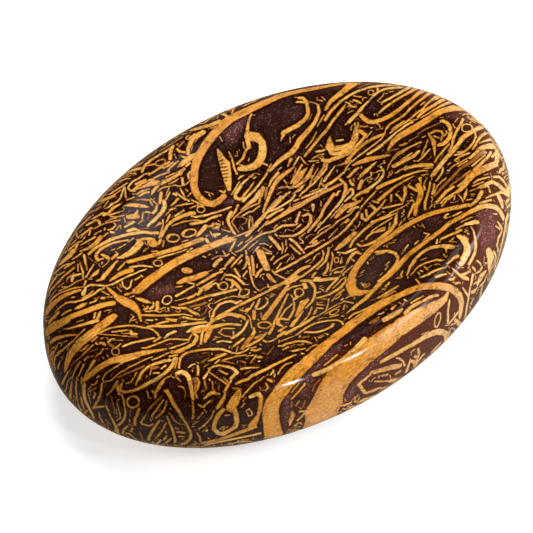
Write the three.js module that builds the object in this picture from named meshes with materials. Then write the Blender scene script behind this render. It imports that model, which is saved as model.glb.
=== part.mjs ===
// A worry stone of polished jasper: one oval pebble with a thumb hollow ground into its top.
// Units are millimetres and +Z is up. The stone rests on a small flat spot at z = 0,
// its long way runs along X, and the origin is the middle of that flat spot.

import * as THREE from 'three';

// Overall size of the stone.
const LENGTH = 45;
const WIDTH = 30.5;
const HEIGHT = 8.2;

// The widest girdle runs round the stone at this height.
const GIRDLE_HEIGHT = 5.25;

// The rim is the highest line of the stone. It runs this far inside the girdle at the long sides.
const RIM_INSET = 2.4;

// The thumb hollow sinks this far below the rim. Its floor is level out to the first share of the
// rim's radius, and its wall levels off again into the rim from the second share on.
const HOLLOW_DEPTH = 2.7;
const HOLLOW_FLOOR_SHARE = 0.45;
const HOLLOW_WALL_SHARE = 0.7;

// The underside is a full, rounded belly down to the flat spot that the stone rests on.
const BELLY_FULLNESS = 3.2;
const REST_SHARE = 0.3;

// Fineness of the faceted surface.
const FACETS_ROUND = 80;
const HOLLOW_STEPS = 16;
const SHOULDER_STEPS = 10;
const BELLY_STEPS = 16;

const girdleRadius = WIDTH / 2;
const rimRadius = girdleRadius - RIM_INSET;
const restRadius = girdleRadius * REST_SHARE;

// The belly, from the edge of the flat spot up to the girdle, as a quarter of a full oval.
function bellyPoints() {
  const power = 2 / BELLY_FULLNESS;
  const points = [];
  for (let step = 0; step < BELLY_STEPS; step++) {
    const angle = (Math.PI / 2) * (step / BELLY_STEPS);
    const outward = Math.pow(Math.sin(angle), power);
    const upward = 1 - Math.pow(Math.cos(angle), power);
    points.push(new THREE.Vector2(restRadius + (girdleRadius - restRadius) * outward, GIRDLE_HEIGHT * upward));
  }
  return points;
}

// The shoulder, from the girdle up and inward to the rim, as a quarter of an ellipse.
function shoulderPoints() {
  const shoulder = new THREE.EllipseCurve(rimRadius, GIRDLE_HEIGHT, RIM_INSET, HEIGHT - GIRDLE_HEIGHT, 0, Math.PI / 2);
  return shoulder.getPoints(SHOULDER_STEPS).slice(0, SHOULDER_STEPS);
}

// The thumb hollow, from the rim down to the middle of its floor.
function hollowPoints() {
  const floorHeight = HEIGHT - HOLLOW_DEPTH;
  const hollow = new THREE.CubicBezierCurve(
    new THREE.Vector2(rimRadius, HEIGHT),
    new THREE.Vector2(rimRadius * HOLLOW_WALL_SHARE, HEIGHT),
    new THREE.Vector2(rimRadius * HOLLOW_FLOOR_SHARE, floorHeight),
    new THREE.Vector2(0, floorHeight),
  );
  const points = hollow.getPoints(HOLLOW_STEPS);
  points[HOLLOW_STEPS].x = 0;
  return points;
}

// The stone is turned from its section as a round body, then drawn out along X to its oval plan.
function stoneGeometry() {
  const section = [new THREE.Vector2(0, 0), ...bellyPoints(), ...shoulderPoints(), ...hollowPoints()];
  const geometry = new THREE.LatheGeometry(section, FACETS_ROUND);
  geometry.rotateX(Math.PI / 2);
  geometry.scale(LENGTH / WIDTH, 1, 1);
  return geometry;
}

const jasper = new THREE.MeshStandardMaterial({ color: 0x7d5226, roughness: 0.16, metalness: 0 });

const stone = new THREE.Mesh(stoneGeometry(), jasper);
stone.name = 'stone';

const worryStone = new THREE.Group();
worryStone.add(stone);

export default worryStone;
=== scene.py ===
"""A polished jasper worry stone: the looks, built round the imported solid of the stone."""

import logging
import math
from dataclasses import dataclass, field
from enum import Enum

import bpy
import numpy as np
from mathutils import Matrix, Vector


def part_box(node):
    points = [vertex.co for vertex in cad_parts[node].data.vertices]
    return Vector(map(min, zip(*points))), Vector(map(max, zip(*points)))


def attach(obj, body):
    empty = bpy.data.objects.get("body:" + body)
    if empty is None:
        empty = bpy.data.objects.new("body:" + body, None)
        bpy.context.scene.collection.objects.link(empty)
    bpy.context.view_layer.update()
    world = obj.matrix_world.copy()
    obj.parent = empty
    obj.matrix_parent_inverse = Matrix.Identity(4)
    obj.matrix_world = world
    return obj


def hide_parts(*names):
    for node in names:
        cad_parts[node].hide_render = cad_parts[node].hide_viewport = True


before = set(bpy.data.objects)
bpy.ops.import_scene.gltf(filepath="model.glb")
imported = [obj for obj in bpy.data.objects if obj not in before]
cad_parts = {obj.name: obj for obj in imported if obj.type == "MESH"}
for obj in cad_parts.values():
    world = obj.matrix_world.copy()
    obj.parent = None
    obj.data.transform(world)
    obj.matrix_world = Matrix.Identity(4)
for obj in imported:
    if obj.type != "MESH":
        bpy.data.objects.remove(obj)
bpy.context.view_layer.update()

log = logging.getLogger("worry_stone")

# Metres in a millimetre: the sizes below are in millimetres, and places in the photograph in its pixels
MM = 0.001
# Points nearer than this, in metres, are one point
MERGE = 1e-6
# Keeps a length that is divided by from being nothing
TINY = 1e-6


class Tone(Enum):
    """The colours that a sliver of the jasper comes in, as places on the sliver colour ramp."""

    # Cream is also the tone of a few painted glints, which are painted highlights
    CREAM = 0.0
    HONEY = 0.14
    OCHRE = 0.36
    AMBER = 0.60
    RUST = 0.90


# The tones by their own names, for the long lists of markings below
CREAM, HONEY, OCHRE, AMBER, RUST = Tone


class Form(Enum):
    """How the width of a sliver runs along it."""

    BAR = "even"
    LEAF = "widest in the middle"
    HORN = "from wide to a point"


class Kind(Enum):
    """What a marking is made of."""

    SLIVER = "a pale sliver"
    CRACK = "a dark line across pale slivers"
    BARE = "open dark ground, where no loose slivers lie"
    SPECKLED = "open maroon ground with pale grains"


class Side(Enum):
    """The two charts that cover the stone: from the hollow down, and from the flat spot up."""

    TOP = 0
    UNDER = 1


def width_profile(form: Form, t: np.ndarray) -> np.ndarray:
    """Gives the share of the full width along a sliver.

    Args:
        form: The sliver's form.
        t: Places along it, from 0 to 1.

    Returns:
        The share at each place.
    """
    if form is Form.LEAF:
        return 0.12 + 0.88 * np.sin(math.pi * np.clip(t, 0.02, 0.98)) ** 0.8
    if form is Form.HORN:
        return 1 - 0.85 * t
    return 1 - 0.12 * np.abs(2 * t - 1) ** 6


@dataclass(frozen=True)
class StoneForm:
    """The stone's section and plan, with the same driving sizes as the solid."""

    length: float
    width: float
    height: float
    girdle_height: float = 5.25
    rim_inset: float = 2.4
    hollow_depth: float = 2.7
    hollow_floor_share: float = 0.45
    hollow_wall_share: float = 0.7
    belly_fullness: float = 3.2
    rest_share: float = 0.3
    steps: int = 400

    @property
    def stretch(self) -> float:
        """How much longer than wide the plan is."""
        return self.length / self.width

    def section(self) -> np.ndarray:
        """Follows the section from the middle of the hollow to the middle of the flat spot.

        Returns:
            Rows of (arc length, radius, height), evenly spaced along the arc.
        """
        girdle = self.width / 2
        rim = girdle - self.rim_inset
        rest = girdle * self.rest_share
        floor = self.height - self.hollow_depth
        t = np.linspace(0.0, 1.0, self.steps)
        hollow_r = 3 * (1 - t) ** 2 * t * self.hollow_floor_share * rim
        hollow_r = hollow_r + 3 * (1 - t) * t**2 * self.hollow_wall_share * rim + t**3 * rim
        hollow_z = floor + (3 * (1 - t) * t**2 + t**3) * self.hollow_depth
        angle = np.linspace(0.0, math.pi / 2, self.steps)[1:]
        shoulder_r = rim + self.rim_inset * np.sin(angle)
        shoulder_z = self.girdle_height + (self.height - self.girdle_height) * np.cos(angle)
        power = 2 / self.belly_fullness
        belly_r = rest + (girdle - rest) * np.cos(angle) ** power
        belly_z = self.girdle_height * (1 - np.sin(angle) ** power)
        belly_r[-1] = rest
        radius = np.concatenate([hollow_r, shoulder_r, belly_r, [0.0]])
        height = np.concatenate([hollow_z, shoulder_z, belly_z, [0.0]])
        arc = np.concatenate([[0.0], np.cumsum(np.hypot(np.diff(radius), np.diff(height)))])
        even = np.linspace(0.0, arc[-1], self.steps * 4)
        return np.column_stack([even, np.interp(even, arc, radius), np.interp(even, arc, height)])


@dataclass
class StoneChart:
    """Maps the stone's surface: flat charts of the top and the underside, and points in space."""

    form: StoneForm
    coarse: int = 4
    step: float = 0.05
    least_area: float = 0.05
    rows: np.ndarray = field(init=False)
    girdle_arc: float = field(init=False)
    total_arc: float = field(init=False)

    def __post_init__(self) -> None:
        """Works the section out once."""
        self.rows = self.form.section()
        self.total_arc = float(self.rows[-1, 0])
        self.girdle_arc = float(self.rows[np.argmax(self.rows[:, 1]), 0])

    def reach(self, side: Side) -> float:
        """Gives the arc length from a chart's middle to the stone's widest line."""
        return self.girdle_arc if side is Side.TOP else self.total_arc - self.girdle_arc

    def place(self, side: Side, uv: np.ndarray) -> np.ndarray:
        """Finds the points in space of places on a chart.

        Args:
            side: The chart.
            uv: Rows of chart places, along the stone and across it.

        Returns:
            Rows of (x, y, z).
        """
        along = uv[:, 0] / self.form.stretch
        arc = np.hypot(along, uv[:, 1])
        angle = np.arctan2(uv[:, 1], along)
        if side is Side.UNDER:
            arc = self.total_arc - arc
        radius = np.interp(arc, self.rows[:, 0], self.rows[:, 1])
        height = np.interp(arc, self.rows[:, 0], self.rows[:, 2])
        x = radius * np.cos(angle) * self.form.stretch
        return np.column_stack([x, radius * np.sin(angle), height])

    def polar(self, points: np.ndarray) -> tuple[np.ndarray, np.ndarray]:
        """Finds where points on the surface lie round the middle of the hollow.

        Args:
            points: Rows of (x, y, z).

        Returns:
            The arc length from the hollow's middle, and the angle round it, of each point.
        """
        along = points[:, 0] / self.form.stretch
        radius = np.hypot(along, points[:, 1])
        rows = self.rows[::self.coarse]
        gap = (radius[:, None] - rows[None, :, 1]) ** 2 + (points[:, 2:3] - rows[None, :, 2]) ** 2
        return rows[gap.argmin(1), 0], np.arctan2(points[:, 1], along)

    def chart(self, side: Side, points: np.ndarray) -> np.ndarray:
        """Finds the chart places of points on the surface.

        Args:
            side: The chart.
            points: Rows of (x, y, z).

        Returns:
            Rows of chart places, along the stone and across it.
        """
        arc, angle = self.polar(points)
        if side is Side.UNDER:
            arc = self.total_arc - arc
        return np.column_stack([arc * np.cos(angle) * self.form.stretch, arc * np.sin(angle)])

    def local_frame(self, side: Side, uv: np.ndarray) -> np.ndarray:
        """Finds the 2x2 matrix that takes small steps on the surface to steps on a chart.

        Args:
            side: The chart.
            uv: One chart place.

        Returns:
            The matrix, whose first column belongs to a step along the chart's long way.
        """
        near = self.place(side, np.array([uv, uv + (self.step, 0.0), uv + (0.0, self.step)]))
        du = (near[1] - near[0]) / self.step
        dv = (near[2] - near[0]) / self.step
        e1 = du / max(np.linalg.norm(du), TINY)
        rest = dv - e1 * (dv @ e1)
        e2 = rest / max(np.linalg.norm(rest), TINY)
        forward = np.array([[du @ e1, dv @ e1], [du @ e2, dv @ e2]])
        squashed = abs(np.linalg.det(forward)) < self.least_area
        return np.eye(2) if squashed else np.linalg.inv(forward)


@dataclass
class NodeWriter:
    """Short ways to add nodes to a tree."""

    tree: bpy.types.NodeTree

    def node(self, kind: str, **settings: object) -> bpy.types.Node:
        """Adds a node and sets its properties.

        Args:
            kind: The node's type.
            settings: Its properties by name.

        Returns:
            The node.
        """
        made = self.tree.nodes.new(kind)
        for key, value in settings.items():
            setattr(made, key, value)
        return made

    def join(self, value: object, socket: bpy.types.NodeSocket) -> None:
        """Feeds a socket.

        Args:
            value: Another socket, a plain value, or nothing to leave the socket as it is.
            socket: The socket.
        """
        if isinstance(value, bpy.types.NodeSocket):
            self.tree.links.new(value, socket)
        elif value is not None:
            socket.default_value = value

    def math(self, operation: str, a: object, b: object = None, c: object = None,
             clamp: bool = False) -> bpy.types.NodeSocket:
        """Adds a Math node.

        Args:
            operation: What it does.
            a: Its first value or socket.
            b: Its second.
            c: Its third.
            clamp: Whether the result stays between 0 and 1.

        Returns:
            Its result.
        """
        made = self.node("ShaderNodeMath", operation=operation, use_clamp=clamp)
        for value, socket in zip((a, b, c), made.inputs):
            self.join(value, socket)
        return made.outputs[0]

    def vector(self, operation: str, a: object, b: object = None, scale: object = None) -> bpy.types.Node:
        """Adds a Vector Math node.

        Args:
            operation: What it does.
            a: Its first vector or socket.
            b: Its second.
            scale: What it scales by, where it scales.

        Returns:
            The node, which has a vector and a value.
        """
        made = self.node("ShaderNodeVectorMath", operation=operation)
        self.join(a, made.inputs[0])
        self.join(b, made.inputs[1])
        if scale is not None:
            self.join(scale, made.inputs["Scale"])
        return made

    def ease(self, value: object, low: float, high: float, to_low: float = 0.0,
             to_high: float = 1.0) -> bpy.types.NodeSocket:
        """Adds a Map Range node that eases a value from one range to another.

        Args:
            value: The value.
            low: Where the change sets in.
            high: Where it ends.
            to_low: What stands below it.
            to_high: What stands above it.

        Returns:
            The eased value.
        """
        made = self.node("ShaderNodeMapRange", interpolation_type="SMOOTHSTEP")
        self.join(value, made.inputs["Value"])
        ends = {"From Min": low, "From Max": high, "To Min": to_low, "To Max": to_high}
        for name, number in ends.items():
            made.inputs[name].default_value = number
        return made.outputs[0]

    def noise(self, place: object, scale: float, detail: float = 2.0,
              roughness: float = 0.5) -> bpy.types.Node:
        """Adds a Noise node.

        Args:
            place: Where it is read.
            scale: How many of its blotches lie in a millimetre.
            detail: How many finer layers it has.
            roughness: How strong the finer layers are.

        Returns:
            The node, which has a value and a colour.
        """
        made = self.node("ShaderNodeTexNoise")
        self.join(place, made.inputs["Vector"])
        made.inputs["Scale"].default_value = scale
        made.inputs["Detail"].default_value = detail
        made.inputs["Roughness"].default_value = roughness
        return made

    def mix(self, share: object, a: object, b: object, blend: str = "MIX") -> bpy.types.NodeSocket:
        """Adds a colour Mix node.

        Args:
            share: How much of the second colour there is.
            a: The first colour.
            b: The second colour.
            blend: How they are mixed.

        Returns:
            The mixed colour.
        """
        made = self.node("ShaderNodeMix", data_type="RGBA", blend_type=blend)
        self.join(share, made.inputs[0])
        self.join(a, made.inputs[6])
        self.join(b, made.inputs[7])
        return made.outputs[2]

    def ramp(self, value: object, stops: tuple) -> bpy.types.NodeSocket:
        """Adds a colour ramp.

        Args:
            value: The place on the ramp.
            stops: Pairs of place and colour.

        Returns:
            The colour there.
        """
        made = self.node("ShaderNodeValToRGB")
        self.join(value, made.inputs[0])
        elements = made.color_ramp.elements
        while len(elements) < len(stops):
            elements.new(0.5)
        for element, (place, colour) in zip(elements, stops):
            element.position = place
            element.color = (*colour, 1.0)
        return made.outputs[0]


@dataclass(frozen=True)
class Softbox:
    """A soft rectangular light that faces the stone, hung by the direction it shines from."""

    name: str
    azimuth: float
    elevation: float
    away: float
    width: float
    height: float
    watts: float
    mirrored: bool = True

    def hang(self) -> None:
        """Hangs the light."""
        a = math.radians(self.azimuth)
        e = math.radians(self.elevation)
        out = Vector((math.cos(a) * math.cos(e), math.sin(a) * math.cos(e), math.sin(e)))
        bpy.ops.object.light_add(type="AREA", location=out * self.away)
        light = bpy.context.object
        light.name = self.name
        light.data.shape = "RECTANGLE"
        light.data.size = self.width
        light.data.size_y = self.height
        light.data.energy = self.watts
        light.rotation_mode = "QUATERNION"
        light.rotation_quaternion = out.to_track_quat("Z", "Y")
        light.visible_glossy = self.mirrored


@dataclass
class Studio:
    """The camera at the photograph's angle, the pale floor and the soft lights."""

    picture: float = 533.0
    azimuth: float = -46.43
    elevation: float = 45.0
    distance: float = 300.0
    focal_pixels: float = 3680.0
    middle_right: float = 14.67
    middle_up: float = 3.25
    sensor: float = 36.0
    floor_size: float = 3.0
    floor_grey: float = 0.8
    floor_glow: float = 0.5
    bright_side: float = -20.0
    bright_side_share: float = 1.15
    dark_side_share: float = 0.08
    under_share: float = 0.7
    ambient: float = 0.08
    glows: tuple = (
        (0.0, (0.26, 0.22, 0.18)),
        (0.48, (0.31, 0.26, 0.21)),
        (0.52, (0.37, 0.30, 0.23)),
        (0.62, (0.29, 0.215, 0.15)),
        (0.72, (0.18, 0.125, 0.08)),
        (0.82, (0.055, 0.037, 0.023)),
        (0.9, (0.013, 0.008, 0.005)),
    )
    lights: tuple = (
        Softbox("key_light", -42.0, 24.0, 1.2, 0.8, 0.5, 14.5, mirrored=False),
        Softbox("far_light", 30.0, 60.0, 1.2, 0.9, 0.9, 19.5, mirrored=False),
        Softbox("left_fill", 158.0, 34.0, 1.2, 0.9, 0.5, 6.0, mirrored=False),
        Softbox("left_window", -91.7, 46.0, 0.9, 0.038, 0.09, 0.85),
        Softbox("right_window", -69.7, 41.0, 0.9, 0.032, 0.09, 0.8),
        Softbox("side_window", -44.0, 45.0, 0.9, 0.16, 0.20, 0.45),
        Softbox("end_window", -20.0, 36.0, 0.9, 0.22, 0.16, 0.5),
        Softbox("far_panel", 22.0, 51.0, 0.9, 0.26, 0.10, 0.10),
    )

    def axes(self) -> tuple[Vector, Vector, Vector]:
        """Works out the camera's own directions.

        Returns:
            The directions to the right, up and backwards.
        """
        a = math.radians(self.azimuth)
        e = math.radians(self.elevation)
        back = Vector((math.sin(a) * math.cos(e), -math.cos(a) * math.cos(e), math.sin(e)))
        right = Vector((math.cos(a), math.sin(a), 0.0))
        return right, back.cross(right), back

    def camera(self, target: Vector) -> bpy.types.Object:
        """Makes the camera so that the target lies a little right of the picture's middle.

        Args:
            target: The middle of the stone, in metres.

        Returns:
            The camera.
        """
        right, up, back = self.axes()
        scale = self.distance / self.focal_pixels * MM
        spot = target + back * self.distance * MM
        spot = spot - right * self.middle_right * scale - up * self.middle_up * scale
        bpy.ops.object.camera_add(location=spot)
        cam = bpy.context.object
        cam.name = "camera"
        cam.matrix_world = Matrix.Translation(spot) @ Matrix((right, up, back)).transposed().to_4x4()
        cam.data.sensor_width = self.sensor
        cam.data.lens = self.focal_pixels / self.picture * self.sensor
        cam.data.clip_start = 0.01
        cam.data.clip_end = 20.0
        bpy.context.scene.camera = cam
        return cam

    def ray(self, cam: bpy.types.Object, pixel: np.ndarray) -> tuple[Vector, Vector]:
        """Finds the line of sight of a pixel of the photograph.

        Args:
            cam: The camera.
            pixel: The pixel.

        Returns:
            The line's start, in metres, and its direction.
        """
        right, up, back = self.axes()
        half = self.picture / 2
        x = (pixel[0] - half) / self.focal_pixels
        y = (half - pixel[1]) / self.focal_pixels
        return cam.location.copy(), (right * x + up * y - back).normalized()

    def floor(self) -> bpy.types.Object:
        """Makes the pale floor, which the polish doesn't mirror.

        Returns:
            The floor.
        """
        bpy.ops.mesh.primitive_plane_add(size=self.floor_size, location=(0.0, 0.0, 0.0))
        floor = bpy.context.object
        floor.name = "floor"
        material = bpy.data.materials.new("pale_floor")
        material.use_nodes = True
        shader = material.node_tree.nodes["Principled BSDF"]
        shader.inputs["Base Color"].default_value = (self.floor_grey,) * 3 + (1.0,)
        shader.inputs["Roughness"].default_value = 0.9
        shader.inputs["Specular IOR Level"].default_value = 0.0
        shader.inputs["Emission Color"].default_value = (1.0, 1.0, 1.0, 1.0)
        shader.inputs["Emission Strength"].default_value = self.floor_glow
        floor.data.materials.append(material)
        floor.visible_glossy = False
        return floor

    def room(self) -> None:
        """Fills the room with even light, which the polish mirrors as a dim room with one bright side.

        Below the stone's own level the polish mirrors a little of the table on the camera's side.
        """
        world = bpy.data.worlds.new("room")
        world.use_nodes = True
        bpy.context.scene.world = world
        w = NodeWriter(world.node_tree)
        direction = w.node("ShaderNodeTexCoord").outputs["Generated"]
        split = w.node("ShaderNodeSeparateXYZ")
        w.join(direction, split.inputs[0])
        level = w.math("MULTIPLY_ADD", split.outputs[2], 0.5, 0.5)
        glow = w.ramp(level, self.glows)
        a = math.radians(self.bright_side)
        facing = w.vector("DOT_PRODUCT", direction, (math.cos(a), math.sin(a), 0.0)).outputs["Value"]
        a = math.radians(self.azimuth)
        near = w.vector("DOT_PRODUCT", direction, (math.sin(a), -math.cos(a), 0.0)).outputs["Value"]
        below = w.ease(level, 0.46, 0.54, 1.0, 0.0)
        least = w.math("MULTIPLY", below, w.ease(near, -0.5, 0.2, 0.0, self.under_share))
        least = w.math("ADD", least, self.dark_side_share)
        more = w.math("SUBTRACT", self.bright_side_share, least)
        side = w.math("MULTIPLY_ADD", w.ease(facing, -0.9, 0.9), more, least)
        mirrored = w.vector("SCALE", glow, scale=side).outputs[0]
        path = w.node("ShaderNodeLightPath")
        light = w.mix(path.outputs["Is Glossy Ray"], (self.ambient,) * 3 + (1.0,), mirrored)
        w.join(light, world.node_tree.nodes["Background"].inputs["Color"])

    def light(self) -> None:
        """Hangs the lights."""
        for box in self.lights:
            box.hang()


@dataclass(frozen=True)
class Stroke:
    """One marking of the jasper, followed in the photograph."""

    width: float
    trail: tuple
    end: float
    tone: Tone
    form: Form = Form.BAR
    kind: Kind = Kind.SLIVER
    closed: bool = False


def pairs(trail: tuple) -> tuple:
    """Groups a row of numbers into the x and y of each pixel."""
    return tuple(zip(trail[::2], trail[1::2]))


def bar(width: float, *trail: float, end: float = 0.0, tone: Tone = OCHRE) -> Stroke:
    """Follows a sliver of even width, or one that runs from a width to another at its end.

    Args:
        width: The width at the start, in pixels of the photograph, as all sizes of a stroke are.
        trail: The pixels that it runs through: x, y, x, y and so on.
        end: The width at the end, where that is another.
        tone: Its colour.

    Returns:
        The stroke.
    """
    return Stroke(width, pairs(trail), end or width, tone)


def leaf(width: float, *trail: float, tone: Tone = OCHRE) -> Stroke:
    """Follows a sliver with pointed ends."""
    return Stroke(width, pairs(trail), width, tone, Form.LEAF)


def horn(width: float, *trail: float, tone: Tone = OCHRE) -> Stroke:
    """Follows a sliver that starts wide and ends in a point."""
    return Stroke(width, pairs(trail), width, tone, Form.HORN)


def loop(width: float, *trail: float, tone: Tone = OCHRE) -> Stroke:
    """Follows a closed outline."""
    return Stroke(width, pairs(trail), width, tone, closed=True)


def ring(x: float, y: float, across: float, down: float, width: float, tilt: float = 0.0,
         tone: Tone = OCHRE) -> Stroke:
    """Follows an oval outline.

    Args:
        x: How far to the right the pixel of its middle lies.
        y: How far down it lies.
        across: Its half size across.
        down: Its half size down.
        width: The width of the line.
        tilt: Its tilt, in degrees.
        tone: Its colour.

    Returns:
        The stroke.
    """
    lean = math.radians(tilt)
    count = 12
    trail = []
    for k in range(count):
        a = across * math.cos(2 * math.pi * k / count)
        b = down * math.sin(2 * math.pi * k / count)
        right = a * math.cos(lean) - b * math.sin(lean)
        below = a * math.sin(lean) + b * math.cos(lean)
        trail.append((x + right, y + below))
    return Stroke(width, tuple(trail), width, tone, closed=True)


def crack(width: float, *trail: float) -> Stroke:
    """Follows a dark line that parts pale slivers."""
    return Stroke(width, pairs(trail), width, OCHRE, kind=Kind.CRACK)


def bare(width: float, *trail: float, end: float = 0.0) -> Stroke:
    """Follows a strip of open dark ground."""
    return Stroke(width, pairs(trail), end or width, OCHRE, kind=Kind.BARE)


def speckled(width: float, *trail: float, end: float = 0.0) -> Stroke:
    """Follows a strip of open maroon ground with pale grains."""
    return Stroke(width, pairs(trail), end or width, OCHRE, kind=Kind.SPECKLED)


GREAT_LOOP = (
    bare(24, 205, 190, 213, 165, 232, 135, 262, 116, end=16),
    bare(16, 268, 122, 278, 140, 273, 158),
    bare(26, 262, 104, 285, 110, 300, 118, 322, 122, end=30),
    bare(12, 330, 100, 350, 92),
    bare(8, 252, 148, 251, 158),
    bare(9, 303, 93, 332, 86),
    bare(7, 264, 116, 276, 108),
    bare(13, 339, 114, 341, 138),
    bare(12, 366, 103, 375, 112),
    bar(2.5, 350, 82, 290, 93, 270, 100, end=6, tone=AMBER),
    bar(6, 270, 100, 250, 109, 230, 119, 220, 128, end=9.5, tone=AMBER),
    bar(9.5, 220, 128, 210, 139, 197, 160, 194, 180, 195, 190, 200, 198, 207, 203, 213, 204, 219, 201,
        224, 196, end=6.5, tone=AMBER),
    bar(1.5, 217.5, 149, 224.5, 164, end=10.5),
    bar(12, 225, 164, 229, 189, end=5),
    crack(0.9, 217, 161.5, 224, 160),
    crack(0.9, 216, 165, 225, 163),
    crack(1, 216, 168.5, 227, 166.5),
    crack(1, 217, 172, 228, 170),
    crack(1, 218, 175, 228, 173.5),
    crack(1, 219, 178.5, 228, 177),
    crack(0.9, 221, 182, 227, 180.5),
    bar(1.5, 229, 152, 232, 159, 234, 167, 237, 174, end=2.5),
    bar(1.5, 220, 137, 222, 141),
    bar(2, 251, 114, 249, 120, 247, 136, 249, 147, end=5),
    bar(1, 251, 115, 255, 115),
    bar(11.5, 250, 136, 256, 137, 262, 142, end=8),
    bar(7.5, 262, 142, 263, 149, 262, 156, end=9),
    bar(9, 262, 156, 259, 162, 252, 167, 240, 169, end=5),
    bar(2, 246, 167, 240, 165),
    bar(2.5, 262, 163, 267, 165),
    bar(2.5, 249, 147, 246, 150, 243, 158, 237, 164),
    bar(1.5, 243, 142, 244, 148),
)

LOOP_RIM = (
    bar(3, 223, 114, 229, 118),
    bar(3, 229, 110, 234, 107),
    bar(2, 232, 113, 235, 107),
    bar(1.5, 246, 104.5, 250, 103),
    bar(3, 192, 130, 213, 124, 219, 121, end=4),
    bar(2, 211, 128, 217, 126),
    bar(5.5, 203, 132, 196, 137, 191, 143, 188, 153),
    crack(0.9, 196, 139, 191, 148, 190, 153),
    bar(2.5, 190, 138, 195, 134),
    ring(188.5, 137.5, 2.6, 1.8, 1.2, -20),
    leaf(6, 196, 153, 178, 167),
    horn(3, 186, 158, 179, 155),
    bar(2.8, 177, 149, 179.5, 151.5, 184, 152),
    bar(3.5, 173, 146, 171, 150, 170, 159, end=4),
    bar(2.5, 167, 150, 171, 148),
    bar(1.3, 174.5, 154, 176, 158),
    bar(2.5, 190, 163, 186, 166),
    bar(2, 181, 175, 184, 168),
    bar(1.5, 160, 151, 182, 137, tone=RUST),
    bar(2, 166, 151, 151, 160, 144, 167, 142, 172, end=3),
    bar(2, 145, 166, 155, 164, tone=AMBER),
    ring(160.5, 162.5, 5.5, 2.8, 1.3, -20),
    bar(3, 169, 162, 149, 175, end=2.2, tone=AMBER),
    bar(1.8, 173, 162, 168, 166, 163, 168),
    bar(2, 178, 161, 171, 167, 168, 171),
    bar(3.5, 184, 169, 176, 176, 161, 184, end=3),
    bar(1.5, 182, 170, 166, 177),
    bar(1.6, 169, 172, 158, 176, 153, 179, 149, 180),
    bar(3, 163, 181, 169, 179, tone=AMBER),
)

SLOPE_FISH = (
    bar(5, 158, 182, 152, 184, tone=AMBER),
    bar(7.5, 153, 182, 138, 187, 134, 190, end=4, tone=AMBER),
    bar(3, 145, 180, 136, 184, tone=AMBER),
    crack(0.7, 150, 181, 139, 187),
    bar(1.5, 150, 173, 145, 174, 139, 178, 133, 181, 128, 188, 131, 191, 135, 191, end=2.2, tone=HONEY),
    leaf(3.4, 160, 184, 153, 191, 151, 195),
    bar(2.2, 149, 192, 144, 193, 139, 196, tone=HONEY),
    bar(1.5, 133, 194, 137, 194, 143, 190),
    bar(1.5, 149, 189, 141, 192),
    bar(1.4, 134, 197, 127, 200),
    bar(2, 124, 187, 121, 197, 118, 201, 114, 203, end=1.7),
    bar(1.6, 125, 187, 126, 198),
    bar(1.5, 127, 183, 110, 194, end=2),
    bar(1.3, 121, 190, 112, 196),
    bar(1.8, 178, 179, 174, 182, 169, 184),
    bar(1.4, 176, 185, 162, 188, 158, 191),
    bar(1.2, 190, 180, 187, 184, 182, 186, 177, 186),
    bar(3, 182, 178, 183, 184, tone=HONEY),
    bar(2.5, 190, 172, 188, 175, 189, 178),
    leaf(2.5, 180, 188, 185, 198),
    bar(1.3, 176, 192, 180, 196, 189, 201, end=2, tone=HONEY),
    bar(3, 174, 194, 176, 195),
    bar(1.5, 170, 192, 166, 199, end=2.5),
    bar(3.8, 161, 193, 160, 203, end=3),
    bar(1.3, 169, 188, 166, 195),
    bar(3, 178, 199, 171, 206, end=1.5),
    bar(1.5, 191, 193, 188, 196),
    bar(1.8, 192, 200, 204, 206),
)

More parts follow.
